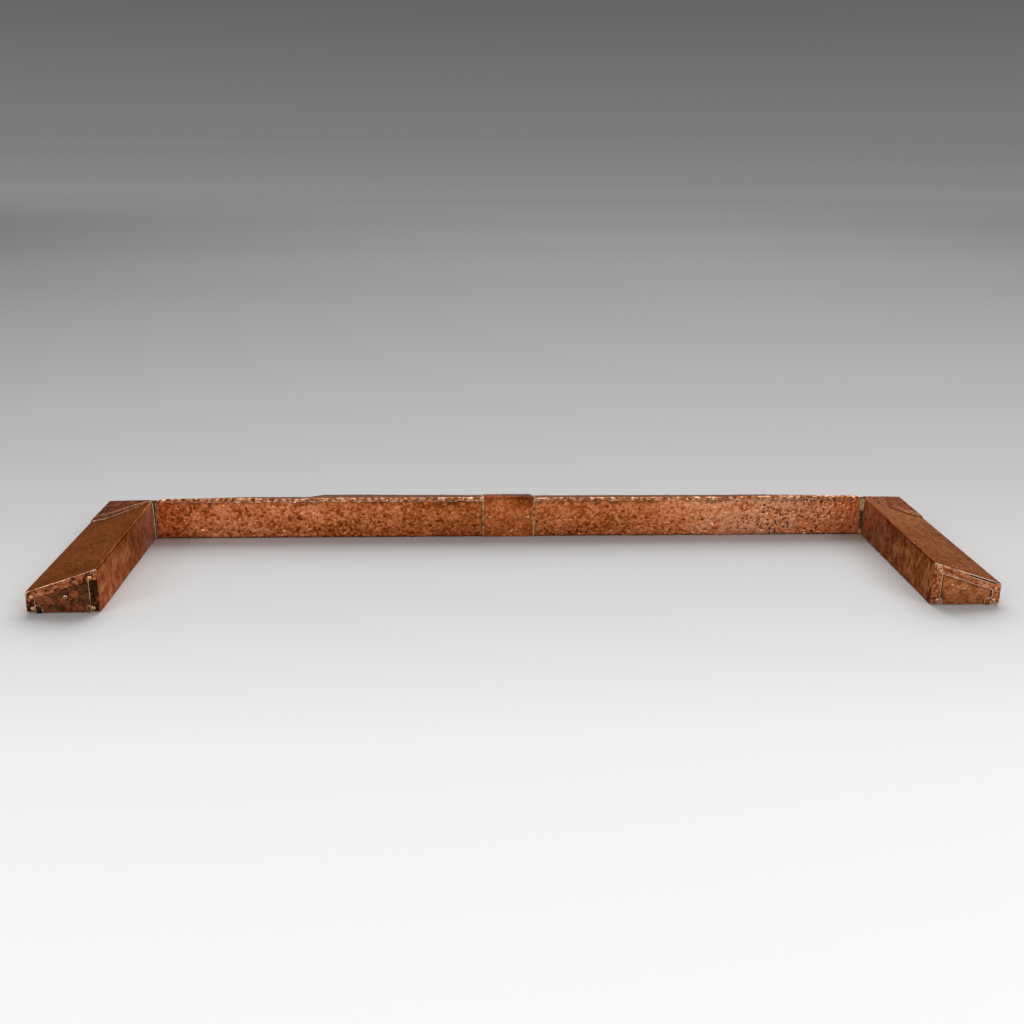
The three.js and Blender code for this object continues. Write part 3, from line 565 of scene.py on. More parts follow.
# The liveliest skin: dimpled pink metal that glints between brown stains and black pits.
fire_copper = old_copper(
    "soot-stained hammered copper",
    [
        (0, "50280F"),
        (0.3, "A24F22"),
        (0.5, "C86C34"),
        (0.7, "EC8E5A"),
        (0.86, "FCA06C"),
        (1, "FFB48A"),
    ],
    bright="F4C09C",
    gloss=0.25,
    mottle=0.4,
    peel_mm=2.2,
    grain=0.8,
    grain_mm=3,
)
fire_top = FIRE_HEIGHT_MM - FLAP_BEND_MM - SHEET_MM
fire_section = fold_line(
    [(FIRE_FLANGE_MM, 0), (0, 0), (0, fire_top)],
    WALL_BEND_MM,
    [steps_for(FIRE_FLANGE_MM), steps_for(fire_top, FINE_GRID_MM)],
)
for side in ("left", "right"):
    node_name = f"rail_fire_sheet_{side}"
    low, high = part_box(node_name)
    rows = stations(1000 * low.x, 1000 * high.x, FINE_GRID_MM)
    wall = sheet(
        f"fire_wall_{side}", [np.array([across_rail(x, fire_section) for x in rows])], rail_face
    )
    stand_for(wall, fire_copper, node_name)

# ---------------------------------------------------------------- copper sheet of each arm
# One sheet wraps each arm: both feet turned under, and at the end three flaps and two tabs are
# cut and folded over the end plate. Hands and cloths have rubbed the tops smooth.
ROOM_HEIGHT_MM = 33.0
ROOM_FLANGE_MM = 22.0
ARM_TONGUE_MM = 20.0
LAP_END_MM = 5.0
FLAP_MM, FLAP_CORNER_MM = 12.5, 5.0
TAB_MM, TAB_SLIT_MM = 12.0, 0.4
STROKE_MM, STROKE_LONG_MM = 2.6, 13.0
# Along the arm: where its colour turns to that of the corner, where dark scribbles come on its
# walls and go again, and where the painted shade on the left arm's ridge gives way to its light.
TO_CORNER_MM = (-20, 80)
SCRIBBLE_FROM_MM, SCRIBBLE_TO_MM = (-30, 10), (45, 75)
LEFT_RIDGE_LIT_MM = (20, 90)
RIDGE_SHADE_MM = (2, 6)  # from the ridge, where the painted shade beside it gives out
# A point this far in front of the plate is on the folded end, and so is a face that lies no
# further than this behind it.
PLATE_SIDE_MM, END_FACE_MM = 0.2, 0.5
TORN_SHORT = 5  # points between the torn stretch of the right top fold and its end
# How bright each fold is, and whether the top flap's cut edge is bright (1) or dull (-1).
TOP_FOLD_WORN = 0.8
SIDE_FOLD_WORN = {"left": 0.2, "right": 0.45}
CUT_EDGE_WORN = {"left": -1, "right": 1}

top_slope = (ROOM_HEIGHT_MM - FIRE_HEIGHT_MM) / section_width
top_length = math.hypot(1, top_slope)
arm_width = section_width - LAYER_MM
top_flap_y = 1000 * end_y
side_flap_y = top_flap_y + LAYER_MM
plate_y = side_flap_y + LAYER_MM


def arm_top_at(across, inset=LAYER_MM):
    """Height of the arm's sloping top, moved in by an inset square to it."""
    return FIRE_HEIGHT_MM + top_slope * across - inset * top_length


def on_side(side, panel):
    """A panel made for the right arm, or the same one mirrored for the left."""
    if side == "right":
        return panel
    panel = panel[::-1].copy()
    panel[..., 0] *= -1
    return panel


def arm_face(p, upright):
    """Height, pits and rubbing of an arm: hammered in short upright strokes on its walls, smooth
    on top, stained on its folded end, and painted dark with shade along its ridge."""
    on_wall = ease(upright, 0.3, 0.8)
    stroke = noise(Vector((p.x / STROKE_MM, p.y / STROKE_MM, p.z / STROKE_LONG_MM)))
    stroke += 0.5 * noise(Vector((p.x, p.y / 1.6, p.z / 7)))
    blow = noise(p / HAMMER_MM)
    buckle = noise(p / BUCKLE_MM)
    pit = ease(noise(p / PIT_MM + Vector((3, 1, 4))), 0.42, 0.6) * on_wall
    if p.y < plate_y - PLATE_SIDE_MM:
        mottled = noise(p / 4.5) + 0.5 * noise(p / 2)
        on_top_flap = p.z > arm_top_at(abs(p.x) - arm_x) - FLAP_MM - 2.5
        rubbed = 0.56 if p.x > 0 else (0.5 if on_top_flap else 0.12)
        stain = 0.8 * ease(mottled, 0.05, 0.45) * (0.4 if p.x > 0 else 1)
        return 0.2 * blow + 0.12 * mottled, stain, rubbed - 0.4 * mottled
    height = on_wall * (0.4 * buckle + 0.3 * blow + 0.3 * stroke) + (1 - on_wall) * (
        0.12 * buckle + 0.03 * stroke
    )
    to_corner = ease(p.y, *TO_CORNER_MM)
    # Painted shade along the ridge, darkening the light that the fold would catch.
    ridge_painted_shade = 1 - ease(max(abs(p.x) - arm_x, arm_top_at(0) - p.z), *RIDGE_SHADE_MM)
    scribbled = on_wall * ease(p.y, *SCRIBBLE_FROM_MM) * (1 - ease(p.y, *SCRIBBLE_TO_MM))
    scribbled *= 0.9 if p.x < 0 else 0.4
    scribble = scribbled * (1 - ease(abs(noise(p / 4)), 0.03, 0.13))
    if p.x > 0:
        rubbed = on_wall * (0.44 + 0.3 * to_corner) + (1 - on_wall) * (0.46 + 0.08 * to_corner)
    else:
        rubbed = on_wall * (0.62 + 0.4 * to_corner) + (1 - on_wall) * 0.42
        ridge_painted_shade *= 1 - 0.6 * ease(p.y, *LEFT_RIDGE_LIT_MM)
    rubbed += on_wall * (0.2 * blow + 0.2 * stroke) - 0.1 * ridge_painted_shade
    return height, max(pit, 0.8 * scribble, 0.44 * ridge_painted_shade), rubbed


arm_steps = [
    steps_for(FIRE_FLANGE_MM),
    steps_for(arm_top_at(0), FINE_GRID_MM),
    steps_for(arm_width),
    steps_for(arm_top_at(arm_width)),
    steps_for(ROOM_FLANGE_MM),
]
arm_section = fold_line(
    [
        (FIRE_FLANGE_MM, 0),
        (0, 0),
        (0, arm_top_at(0)),
        (arm_width, arm_top_at(arm_width)),
        (arm_width, 0),
        (arm_width - ROOM_FLANGE_MM, 0),
    ],
    WALL_BEND_MM,
    arm_steps,
)
starts = np.cumsum([0] + [count + FOLD_STEPS for count in arm_steps])
stretches = [np.arange(s, s + count + 1) for s, count in zip(starts, arm_steps)]
fire_foot, fire_side, top_side, room_side, room_foot = stretches

column = np.arange(len(arm_section))
fold_y = side_flap_y + FLAP_BEND_MM
arm_front = np.interp(
    column,
    [fire_side[-1], top_side[0], top_side[-1], room_side[0]],
    [fold_y, fold_y - LAYER_MM, fold_y - LAYER_MM, fold_y],
)
across, height = arm_section[:, 0], arm_section[:, 1]
arm_back = np.minimum(fire_y + across - FIT_MM * math.sqrt(2), fire_y + ARM_TONGUE_MM)
arm_back[(across > section_width / 2) & (height < WALL_BEND_MM)] = fire_y - LAP_END_MM - FIT_MM


def ease_all(values, low, high):
    """The same easy rise for each of many values."""
    t = np.clip((np.asarray(values) - low) / (high - low), 0, 1)
    return t * t * (3 - 2 * t)


def arm_row(section, y):
    """A row of the right arm from a section and the y of each of its points."""
    return np.column_stack(
        [arm_x + section[:, 0], np.broadcast_to(y, len(section)), section[:, 1:]]
    )


def flap(columns, plane, depths, wear, fall=None, torn=(), edge_wear=1):
    """Panels of a flap that is folded off a stretch of the arm's sheet on to a plane and runs on
    to its depth. Wear is how bright its fold is, and edge wear how bright its cut edge. Fall is
    the way that it runs, square to the stretch where none is given. The fold is missing where it
    is torn."""
    edge = arm_section[columns]
    inward = inward_of(edge[-1, :2] - edge[0, :2])
    inward = inward / np.linalg.norm(inward)
    fall = inward if fall is None else np.array(fall)
    rows = []
    for bend in np.linspace(0, math.pi / 2, FOLD_STEPS + 1):
        row = edge.copy()
        row[:, :2] += inward * FLAP_BEND_MM * (1 - math.cos(bend))
        row[:, 2] = wear * math.sin(2 * bend) ** 3
        rows.append(arm_row(row, plane + FLAP_BEND_MM * (1 - math.sin(bend))))
    steps = steps_for(max(depths), FINE_GRID_MM)
    for k in range(1, steps + 1):
        row = edge.copy()
        run = (depths - FLAP_BEND_MM) * k / steps
        row[:, :2] += inward * FLAP_BEND_MM + np.outer(run, fall)
        row[:, 2] = 0
        rows.append(arm_row(row, plane))
    panel = np.array(rows)
    panel[-1, :, 3] = edge_wear
    if not len(torn):
        return [panel]
    first, last = torn
    return [panel[:, : first + 1], panel[FOLD_STEPS + 1 :, first : last + 1], panel[:, last:]]


def rounded(depth, from_edge):
    """Depth of a flap with a rounded corner, at a distance from its side."""
    short = np.clip(FLAP_CORNER_MM - from_edge, 0, FLAP_CORNER_MM)
    return depth - FLAP_CORNER_MM + np.sqrt(FLAP_CORNER_MM**2 - short**2)


def arm_flaps(side):
    """Panels of the flaps and tabs of one arm, on the right."""
    panels = []
    along_top = across[top_side]
    depths = rounded(FLAP_MM, np.minimum(along_top - along_top[0], along_top[-1] - along_top))
    torn = () if side == "left" else (len(top_side) // 2, len(top_side) - TORN_SHORT)
    panels += flap(
        top_side,
        top_flap_y,
        depths,
        TOP_FOLD_WORN,
        fall=(0, -top_length),
        torn=torn,
        edge_wear=CUT_EDGE_WORN[side],
    )
    up_wall = height[fire_side]
    under_top = (arm_top_at(0) - 2 * LAYER_MM - up_wall) / -top_slope
    side_wear = SIDE_FOLD_WORN[side]
    depths = np.clip(under_top, FLAP_BEND_MM + 0.5, FLAP_MM)
    panels += flap(fire_side, side_flap_y, depths, side_wear)
    panels += flap(room_side, side_flap_y, np.full(len(room_side), FLAP_MM), side_wear)
    for foot, low, high in (
        (fire_foot, FLAP_MM + TAB_SLIT_MM, FIRE_FLANGE_MM),
        (room_foot, arm_width - ROOM_FLANGE_MM, arm_width - FLAP_MM - TAB_SLIT_MM),
    ):
        columns = foot[(across[foot] > low - 1) & (across[foot] < high + 1)]
        free = np.abs(across[columns] - (FIRE_FLANGE_MM if foot is fire_foot else low))
        panels += flap(columns, side_flap_y, rounded(TAB_MM, free), side_wear)
    return panels


# Rubbed brown wax with upright strokes: the left arm warms to orange, the right stays brown.
ARM_TONES = {
    "left": [
        (0, "2E1B10"),
        (0.2, "603412"),
        (0.4, "A46622"),
        (0.58, "BE7440"),
        (0.78, "D89464"),
        (1, "F2BE9A"),
    ],
    "right": [
        (0, "2E1B10"),
        (0.2, "5C3418"),
        (0.38, "9C5C28"),
        (0.52, "B47C50"),
        (0.78, "D29A72"),
        (1, "F2C4A4"),
    ],
}
arm_copper = {
    side: old_copper(
        f"waxed brown copper, {side}",
        tones,
        bright="F6D8B4",
        gloss=0.36,
        mottle=0.35,
        peel_mm=0.4,
        edge_gate=(0.22, 0.45),
        grain=1.2,
        grain_mm=2.6,
        upright_grain=0.18,
    )
    for side, tones in ARM_TONES.items()
}
# Duller and more broken than the arm: the handled ends look dirty beside the rubbed walls.
flap_copper = old_copper(
    "folded flap copper",
    [(0, "22180E"), (0.25, "56301A"), (0.5, "AC6038"), (0.75, "D08A62"), (1, "F0BC98")],
    bright="F8DCC0",
    gloss=0.36,
    mottle=0.5,
    peel_mm=0.4,
    edge_gate=(0.22, 0.45),
)
arm_rows = steps_for(arm_back[0] - arm_front[0])
channel = np.array(
    [
        arm_row(arm_section, arm_back + (arm_front - arm_back) * k / arm_rows)
        for k in range(arm_rows + 1)
    ]
)
# The left arm's ridge is rubbed bright next to the corner, and the right arm's has stayed dull.
RIDGE_BRIGHT_MM = {"left": (10, 100), "right": (120, 200)}
RIDGE_WORN, RIDGE_WORN_MORE = 0.05, 0.5
for side in ("left", "right"):
    body = channel.copy()
    rubbing = ease_all(body[:, :1, 1], *RIDGE_BRIGHT_MM[side])
    body[..., 3] *= RIDGE_WORN + RIDGE_WORN_MORE * rubbing
    panels = [on_side(side, panel) for panel in [body] + arm_flaps(side)]
    arm = sheet(f"{side}_arm_copper", panels, arm_face)
    stand_for(arm, arm_copper[side], f"{side}_arm_sheet")
    arm.data.materials.append(flap_copper)
    for face in arm.data.polygons:
        if face.center.y * 1000 < plate_y + END_FACE_MM:
            face.material_index = 1

# ---------------------------------------------------------------- end plates
# A loose plate of thin copper closes each end of the timber, held by the flaps and one pin.
PLATE_EDGE_MM = 1.3
PLATE_STEPS = 40
LEFT_FLAP_SHADE_MM, RIGHT_FLAP_SHADE_MM = 1.4, 2.4  # how far the painted shade comes out from under the flaps


def fading(offset, reach):
    """1 on a line, fading to 0 beside it over about this reach."""
    return math.exp(-((offset / reach) ** 2))


def plate_face(p, upright):
    """Height, pits and rubbing of an end plate: dented, sooted on the left, and painted black with
    shade where it goes under the flaps."""
    dent = noise(p / 9)
    pit = 0.6 * ease(noise(p / SPECK_MM), 0.3, 0.5)
    a = abs(p.x) - arm_x
    from_top = arm_top_at(a) - FLAP_MM * top_length - p.z
    from_flap = max(min(from_top, a - FLAP_MM, arm_width - FLAP_MM - a), 0)
    # Painted shade: the plate darkens close to the flaps' edges, where they would shade it.
    darkening = 0.95 * fading(from_flap, RIGHT_FLAP_SHADE_MM if p.x > 0 else LEFT_FLAP_SHADE_MM)
    level = 0.54 if p.x > 0 else 0.36
    level += 0.24 * noise(p / 11) + 0.2 * noise(p / 3.5)
    level += 0.8 * ease(noise(p / 3 + Vector((4, 4, 4))), 0.56, 0.66) * (p.x > 0)
    return 0.25 * dent, max(pit, darkening), level


# Dull and dented, and painted nearly black with shade at its border, so that the flaps stand
# out from it.
plate_copper = old_copper(
    "dented plate copper",
    [(0, "2E2018"), (0.25, "684028"), (0.5, "B0643A"), (0.8, "D68A58"), (1, "F6D2B0")],
    bright="C99468",
    gloss=0.4,
    mottle=0.5,
    peel_mm=0.6,
)
plate_rows = []
for a in stations(PLATE_EDGE_MM, arm_width - PLATE_EDGE_MM, FINE_GRID_MM):
    heights = np.linspace(PLATE_EDGE_MM, arm_top_at(a, 2 * LAYER_MM), PLATE_STEPS)
    row = np.zeros((len(heights), 4))
    row[:, 0], row[:, 1], row[:, 2] = arm_x + a, plate_y, heights
    plate_rows.append(row)
for side in ("left", "right"):
    plate = sheet(f"{side}_plate", [on_side(side, np.array(plate_rows))], plate_face)
    stand_for(plate, plate_copper, f"{side}_end_plate")

# ---------------------------------------------------------------- top sheets of the rail
# Thin sheet folded over the top of the rail, with a wavy lip hammered down over the fire wall.
# Each outer sheet is turned over the hip of its corner and lapped on to the arm.
RAIL_CROWN_MM, CROWN_POWER = 6.0, 4
LIP_STOP_MM = 8.0
LAP_DIP_MM, LAP_DIP_AT_MM = 42.0, 70.0
TOP_LAP_LIFT_MM, TOP_LAP_RAMP_MM = 2.5, 24.0
TOP_LAP_TONGUE_MM = 20.0
TOP_LAP_CORNER_MM = 10.0
SOLDER_SPACE_MM = 2.2
LIP_STEPS = 4
CORNER_STEPS = 66
TOP_GRID_MM, WALL_GRID_MM, TOP_ROW_MM = 2, 3, 1.8
LIP_WAVE_MM = 1.4
# The fold was left fuller towards both corners: by how much, from where to where, and the
# length over which it drops again at the end of the lip.
FULLER_MM, FULLER_FROM_MM, FULLER_TO_MM, FULLER_END_MM = 1.7, 330, 470, 18
HANDLED_MM = 60  # of the rail next to a corner, which hands have darkened like the corner
# Half widths of the left corner's creases and of the right one's, and where each starts and
# ends across the arm.
FAN_MM, SCRATCH_MM = 1.6, 1.4
FAN_FROM_MM, SCRATCH_FROM_MM, SCRATCH_END_MM = (4, 20), (2, 8), 46

sleeve_low, sleeve_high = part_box("centre_sleeve")
sleeve_left, sleeve_right = 1000 * sleeve_low.x, 1000 * sleeve_high.x
top_lap_x = 1000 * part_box("rail_top_sheet_lapped")[0].x
lip_stop_x = arm_x - LIP_STOP_MM
top_steps = [
    LIP_STEPS,
    steps_for(section_width, TOP_GRID_MM),
    steps_for(ROOM_HEIGHT_MM, WALL_GRID_MM),
    steps_for(ROOM_FLANGE_MM, WALL_GRID_MM),
]


def top_section(x, raised=0.0, lift=0.0):
    """Section of a top sheet at a place on the rail: lip, slope, room wall and foot."""
    along = min(abs(x) / arm_x, 1)
    room = ROOM_HEIGHT_MM + RAIL_CROWN_MM * (1 - along**CROWN_POWER) + lift
    slope = (room - FIRE_HEIGHT_MM) / section_width
    rise = raised * math.hypot(1, slope)
    drift = wander(x, 60, 3, 1)
    waves = 0.5 * math.sin(2 * math.pi * x / SCALLOP_MM + 3 * drift)
    waves += 1.2 * wander(x, 13, 1, 5) + wander(x, 5, 8, 2)
    lip = LIP_MM + LIP_WAVE_MM * waves
    flare = 0.8 + 1.1 * wander(x, 11, 4, 7)
    rise += 0.8 * max(wander(x, 14, 6, 9), 0)
    fuller = FULLER_MM * ease(abs(x), FULLER_FROM_MM, FULLER_TO_MM)
    rise += fuller * ease(lip_stop_x - abs(x), 0, FULLER_END_MM)
    front = -LAYER_MM
    line = fold_line(
        [
            (front - flare, FIRE_HEIGHT_MM + slope * front - lip),
            (front, FIRE_HEIGHT_MM + slope * front + rise),
            (section_width, room + rise),
            (section_width, 0),
            (section_width - ROOM_FLANGE_MM, 0),
        ],
        FLAP_BEND_MM,
        top_steps,
    )
    line[:, 2] *= np.clip(0.55 + 1.3 * wander(x, 7, 2, 3), 0, 1)
    line[1:LIP_STEPS, 2] = np.clip(2.4 * wander(x, 4, 7, 5), 0, 0.9)
    return line


def lap_at(across):
    """How far past the inner corner the lap's edge lies on the arm, towards its end (negative)."""
    across = np.clip(across, 0, section_width)
    dip, wide = LAP_DIP_AT_MM, section_width
    t = (dip - np.sqrt(dip**2 - (2 * dip - wide) * across)) / (2 * dip - wide)
    return -2 * LAP_DIP_MM * t * (1 - t) - LAP_END_MM * t * t


def top_face(p, upright):
    """Height, pits and rubbing of a top sheet: smooth along the rail, dented on the lip, and
    creased where it was worked over the corner, its creases painted bright, partly as rubbed
    ridges and partly as painted highlight."""
    a, b = abs(p.x) - arm_x, p.y - fire_y  # across the arm, and along it towards the room
    dent = noise(p / 7)
    lip = ease(fire_y + 3 - p.y, 0, 3) if a < -LIP_STOP_MM else 0
    height = 0.25 * noise(p / BUCKLE_MM) + 0.1 * dent + lip * noise(p / 4.5)
    rubbed = 0.34 + 0.2 * dent + lip * (0.26 + 0.6 * noise(p / 5))
    pit = 0.0
    to_corner = ease(a, -LIP_STOP_MM - HANDLED_MM, 0)
    if to_corner > 0 and upright < 0.5:
        if p.x < 0:
            fan = b - (0.14 * a + 2.5 * math.sin(a / 16))
            crease = 0.8 * fading(fan, FAN_MM) * ease(a, *FAN_FROM_MM)
            second = b + 0.12 * a - 7 * math.sin(a / 30)
            crease += 0.5 * fading(second, FAN_MM) * ease(a, *FAN_FROM_MM)
        else:
            wave = math.sin(b / 2.6 + 2.5 * noise(p / 18))
            near_edge = ease(a, 45, 80) * ease(20 - abs(b + 2), 0, 12)
            crease = 0.35 * wave * near_edge
            scratch = b + 0.55 * a + 3 * noise(p / 25)
            within = ease(a, *SCRATCH_FROM_MM) * ease(SCRATCH_END_MM - a, 0, 10)
            crease += 1.3 * fading(scratch, SCRATCH_MM) * within
            second = b + 0.68 * a + 3 * noise(p / 20) + 3
            crease += fading(second, SCRATCH_MM) * within
        spread = max(a, 0) / section_width
        height += 0.25 * noise(p / 9) * spread + min(crease, 0.5)
        pit = 0.45 * to_corner * ease(noise(p / 3.4), 0.2, 0.5)
        # Creases brighten the colour: partly rubbed ridges, partly a painted highlight for the
        # light their fine relief would catch.
        handled_and_crease_highlight = 0.5 + 0.24 * noise(p / 8) + 1.1 * max(crease, 0)
        rubbed += (handled_and_crease_highlight - rubbed) * to_corner * (1 - lip)
    return height, pit, rubbed


def corner_panel():
    """Rows of a top sheet from the end of its lip, over the hip of the right corner and on to
    the edge of its lap on the arm."""
    first, last = top_section(lip_stop_x), top_section(arm_x)
    keep = slice(LIP_STEPS + FOLD_STEPS, None)
    first, last = first[keep], last[keep]
    out = np.maximum(last[:, 0], 0)
    rows = []
    for k in range(CORNER_STEPS + 1):
        t = k / CORNER_STEPS
        places = lip_stop_x + (arm_x + out - lip_stop_x) * t
        rows.append(across_rail(places, first + (last - first) * t))
    ragged = np.array([1.2 * wander(a, 9, 6, 1) for a in out])
    past_top = last[:, 1] < ROOM_HEIGHT_MM - FLAP_BEND_MM
    lap = np.where(past_top, -LAP_END_MM, lap_at(out) + ragged * ease_all(out, 0, 12))
    for k in range(1, CORNER_STEPS + 1):
        t = k / CORNER_STEPS
        row = rows[CORNER_STEPS].copy()
        row[:, 1] = fire_y + out + (lap - out) * t
        rows.append(row)
    return np.array(rows)


def worn_edge(panel, wear):
    """The same corner with the edge of its lap rubbed bright (1) or left dull (-1)."""
    panel = panel.copy()
    panel[-1 if wear < 0 else slice(-3, None), :, 3] = wear
    return panel


def rail_panels(low, high, raised=0.0, lift_at=lambda x: 0.0, columns=slice(None)):
    """Rows of a top sheet between two places on the rail."""
    return np.array(
        [
            across_rail(x, top_section(x, raised, lift_at(x)))[columns]
            for x in stations(low, high, TOP_ROW_MM)
        ]
    )


# Soft brown on the slope, with a broken bright line where its fold catches the light.
top_copper = old_copper(
    "rubbed top copper",
    [(0, "38200A"), (0.3, "7A4A22"), (0.48, "A86A3A"), (0.7, "DE926A"), (1, "FFD2B4")],
    bright="FFE4CC",
    gloss=0.3,
    mottle=0.5,
    peel_mm=0.5,
    edge_gate=(0.34, 0.5),
)
under_sleeve = slice(LIP_STEPS + FOLD_STEPS, None)
opening_left, opening_right = sleeve_left - SOLDER_SPACE_MM, sleeve_right + SOLDER_SPACE_MM
corner = corner_panel()

right_low = 1000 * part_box("rail_top_sheet_right")[0].x
top_right = sheet(
    "rail_top_right",
    [
        rail_panels(right_low, opening_right, columns=under_sleeve),
        rail_panels(opening_right, lip_stop_x),
        worn_edge(corner, -1),
    ],
    top_face,
)
stand_for(top_right, top_copper, "rail_top_sheet_right")

tongue = slice(LIP_STEPS + FOLD_STEPS, LIP_STEPS + FOLD_STEPS + top_steps[1] + 1)
top_left = sheet(
    "rail_top_left",
    [
        on_side("left", worn_edge(corner, 1)),
        rail_panels(-lip_stop_x, top_lap_x - FIT_MM),
        rail_panels(top_lap_x - FIT_MM, top_lap_x + TOP_LAP_TONGUE_MM, columns=tongue),
    ],
    top_face,
)
stand_for(top_left, top_copper, "rail_top_sheet_left")


def sprung(x):
    """How far the lapped sheet springs up on the room side."""
    rise = math.sin(min((x - top_lap_x) / TOP_LAP_RAMP_MM, 1) * math.pi / 2)
    settle = min(max((sleeve_left - x) / (sleeve_left - top_lap_x), 0), 1)
    return TOP_LAP_LIFT_MM * rise * settle


lapped_rows = rail_panels(top_lap_x, opening_left, LAYER_MM, sprung)
# The corner of its free end is clipped round.
between = np.diff(lapped_rows[0, :, :3], axis=0, prepend=lapped_rows[0, :1, :3])
from_lip = np.cumsum(np.linalg.norm(between, axis=1))
clip = TOP_LAP_CORNER_MM - np.clip(from_lip, 0, TOP_LAP_CORNER_MM)
clip = TOP_LAP_CORNER_MM - np.sqrt(TOP_LAP_CORNER_MM**2 - clip**2)
for row in lapped_rows:
    fade = min(max(1 - (row[0, 0] - top_lap_x) / TOP_LAP_RAMP_MM, 0), 1)
    row[:, 0] += clip * fade
lapped_end = 1000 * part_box("rail_top_sheet_lapped")[1].x
lapped = sheet(
    "rail_top_lapped",
    [lapped_rows, rail_panels(opening_left, lapped_end, LAYER_MM, sprung, under_sleeve)],
    top_face,
)
stand_for(lapped, top_copper, "rail_top_sheet_lapped")

# ---------------------------------------------------------------- sleeve over the middle joint
# A strap of the same copper, folded over the whole section where the lengths of the rail meet.
# It is pinned, and soldered down both raw edges.
SLEEVE_FOOT_MM = 1.0
SLEEVE_GRID_MM, SLEEVE_ROW_MM = 1.8, 1.6
SLEEVE_FOLD_WORN = 0.3  # its folds have stayed dull

room_middle = ROOM_HEIGHT_MM + RAIL_CROWN_MM
middle_slope = (room_middle - FIRE_HEIGHT_MM) / section_width
sleeve_rise = 2 * LAYER_MM * math.hypot(1, middle_slope)


def sleeve_line(out, rise, fold, grid_mm):
    """Section of what lies over the middle joint, from the fire wall's foot to the room's."""
    far = section_width + out
    fire_top, room_top = (FIRE_HEIGHT_MM + middle_slope * a + rise for a in (-out, far))
    return fold_line(
        [(-out, SLEEVE_FOOT_MM), (-out, fire_top), (far, room_top), (far, SLEEVE_FOOT_MM)],
        fold,
        [steps_for(n, grid_mm) for n in (fire_top, section_width, room_top)],
    )


def sleeve_face(p, upright):
    """Height, pits and rubbing of the sleeve: flatter than the walls beside it, with painted shade
    on its top beside the fold on the fire side.
    """
    height, pit, pebble = hammered(p, 0.4, 0.5)
    edge = ease(min(p.x - sleeve_left, sleeve_right - p.x), 0, 3)
    shade = 0.25 * ease(p.x, -20, 20) * ease(p.z, 40, 58)
    rubbed = 0.5 + 0.2 * pebble + 0.12 * noise(p / 14) - shade
    # Painted shade on the top next to the fire-side fold, darkening the light that fold would
    # catch.
    painted_shade = 0.5 * ease(p.z, 62, 65) * (1 - ease(p.y - fire_y, 2, 8))
    rubbed -= 0.16 * (1 - ease(upright, 0.3, 0.8))
    return 0.5 * height - 0.1 * (1 - edge), max(0.8 * pit, painted_shade), rubbed


sleeve_section = sleeve_line(LAYER_MM, sleeve_rise, WALL_BEND_MM, SLEEVE_GRID_MM)
sleeve_section[:, 2] *= SLEEVE_FOLD_WORN
sleeve_places = stations(sleeve_left, sleeve_right, SLEEVE_ROW_MM)
sleeve_rows = np.array([across_rail(x, sleeve_section) for x in sleeve_places])
sleeve = sheet("middle_sleeve", [sleeve_rows], sleeve_face)
stand_for(sleeve, fire_copper, "centre_sleeve")

# ---------------------------------------------------------------- solder beside the sleeve
# Soft solder was run down both edges of the sleeve and wiped. It has gone dull and greenish, and
# stands in small beads with dark gaps.
SOLDER_MM, SOLDER_GAUGE_MM, SOLDER_GRID_MM = 1.6, 1.2, 1.2
SOLDER_LOWER_MM = 0.4  # than the sleeve
BEAD_MM = 5

solder, tree, shader, place = new_material("wiped soft solder")
beads = blotches(tree, place, BEAD_MM, 4, 0.7)
dulled = ramp(tree, beads, [(0.3, "9C9058"), (0.5, "DCD296"), (0.7, "FFF8D2")])
finish = {
    "Base Color": blended(tree, layer_of(tree, "pit"), dulled, linear("2A2A1C")),
    "Roughness": carried(tree, beads, 0.3, 0.7, 0.3, 0.55),
    "Metallic": 0.45,
}
connect(tree, shader, finish)


def solder_face(p, upright):
    """Height and dark gaps of a line of solder, which is black along its outer side."""
    lump = noise(p / 6) + 0.5 * noise(p / 2.2)
    outside = max(sleeve_left - p.x, p.x - sleeve_right) > FIT_MM + 0.8 * SOLDER_MM
    return 0.35 * lump, max(ease(-lump, 0.1, 0.5), 1.0 * outside), 0.0


solder_section = sleeve_line(
    LAYER_MM, sleeve_rise - SOLDER_LOWER_MM, WALL_BEND_MM, SOLDER_GRID_MM
)
for side, low in (("left", sleeve_left - FIT_MM - SOLDER_MM), ("right", sleeve_right + FIT_MM)):
    middle = low + SOLDER_MM / 2
    rows = np.array([across_rail(x, solder_section) for x in (low, middle, low + SOLDER_MM)])
    line = sheet(f"sleeve_solder_line_{side}", [rows], solder_face, SOLDER_GAUGE_MM)
    stand_for(line, solder, f"sleeve_solder_{side}")

# ---------------------------------------------------------------- solder in the inner corners
# A fillet of the same solder runs up each inner corner. It has two rounded edges with a dark
# hollow between them.
FILLET_MM, FILLET_MOST_MM = 5.0, 5.4
FILLET_STEPS = 48
# The right one is painted dark with shade between its foot and its top: the heights over which
# that comes and goes.
SHADE_FROM_MM, SHADE_TO_MM = (8, 12), (40, 48)


def fillet_outline(leg):
    """Points of the fillet's face in plan, from the arm's wall round to the rail's: a bead, a
    hollow and a bead. X runs away from the arm, and Y away from the rail."""
    return [
        (0.0, leg, 0.0),
        (0.7, leg * 0.92, 0.0),
        (1.1, leg * 0.72, 0.0),
        (1.0, leg * 0.52, 0.9),
        (1.3, 1.3, 1.0),
        (leg * 0.52, 1.0, 1.0),
        (leg * 0.72, 1.1, 0.75),
        (leg * 0.92, 0.7, 0.5),
        (leg, 0.0, 0.9),
    ]


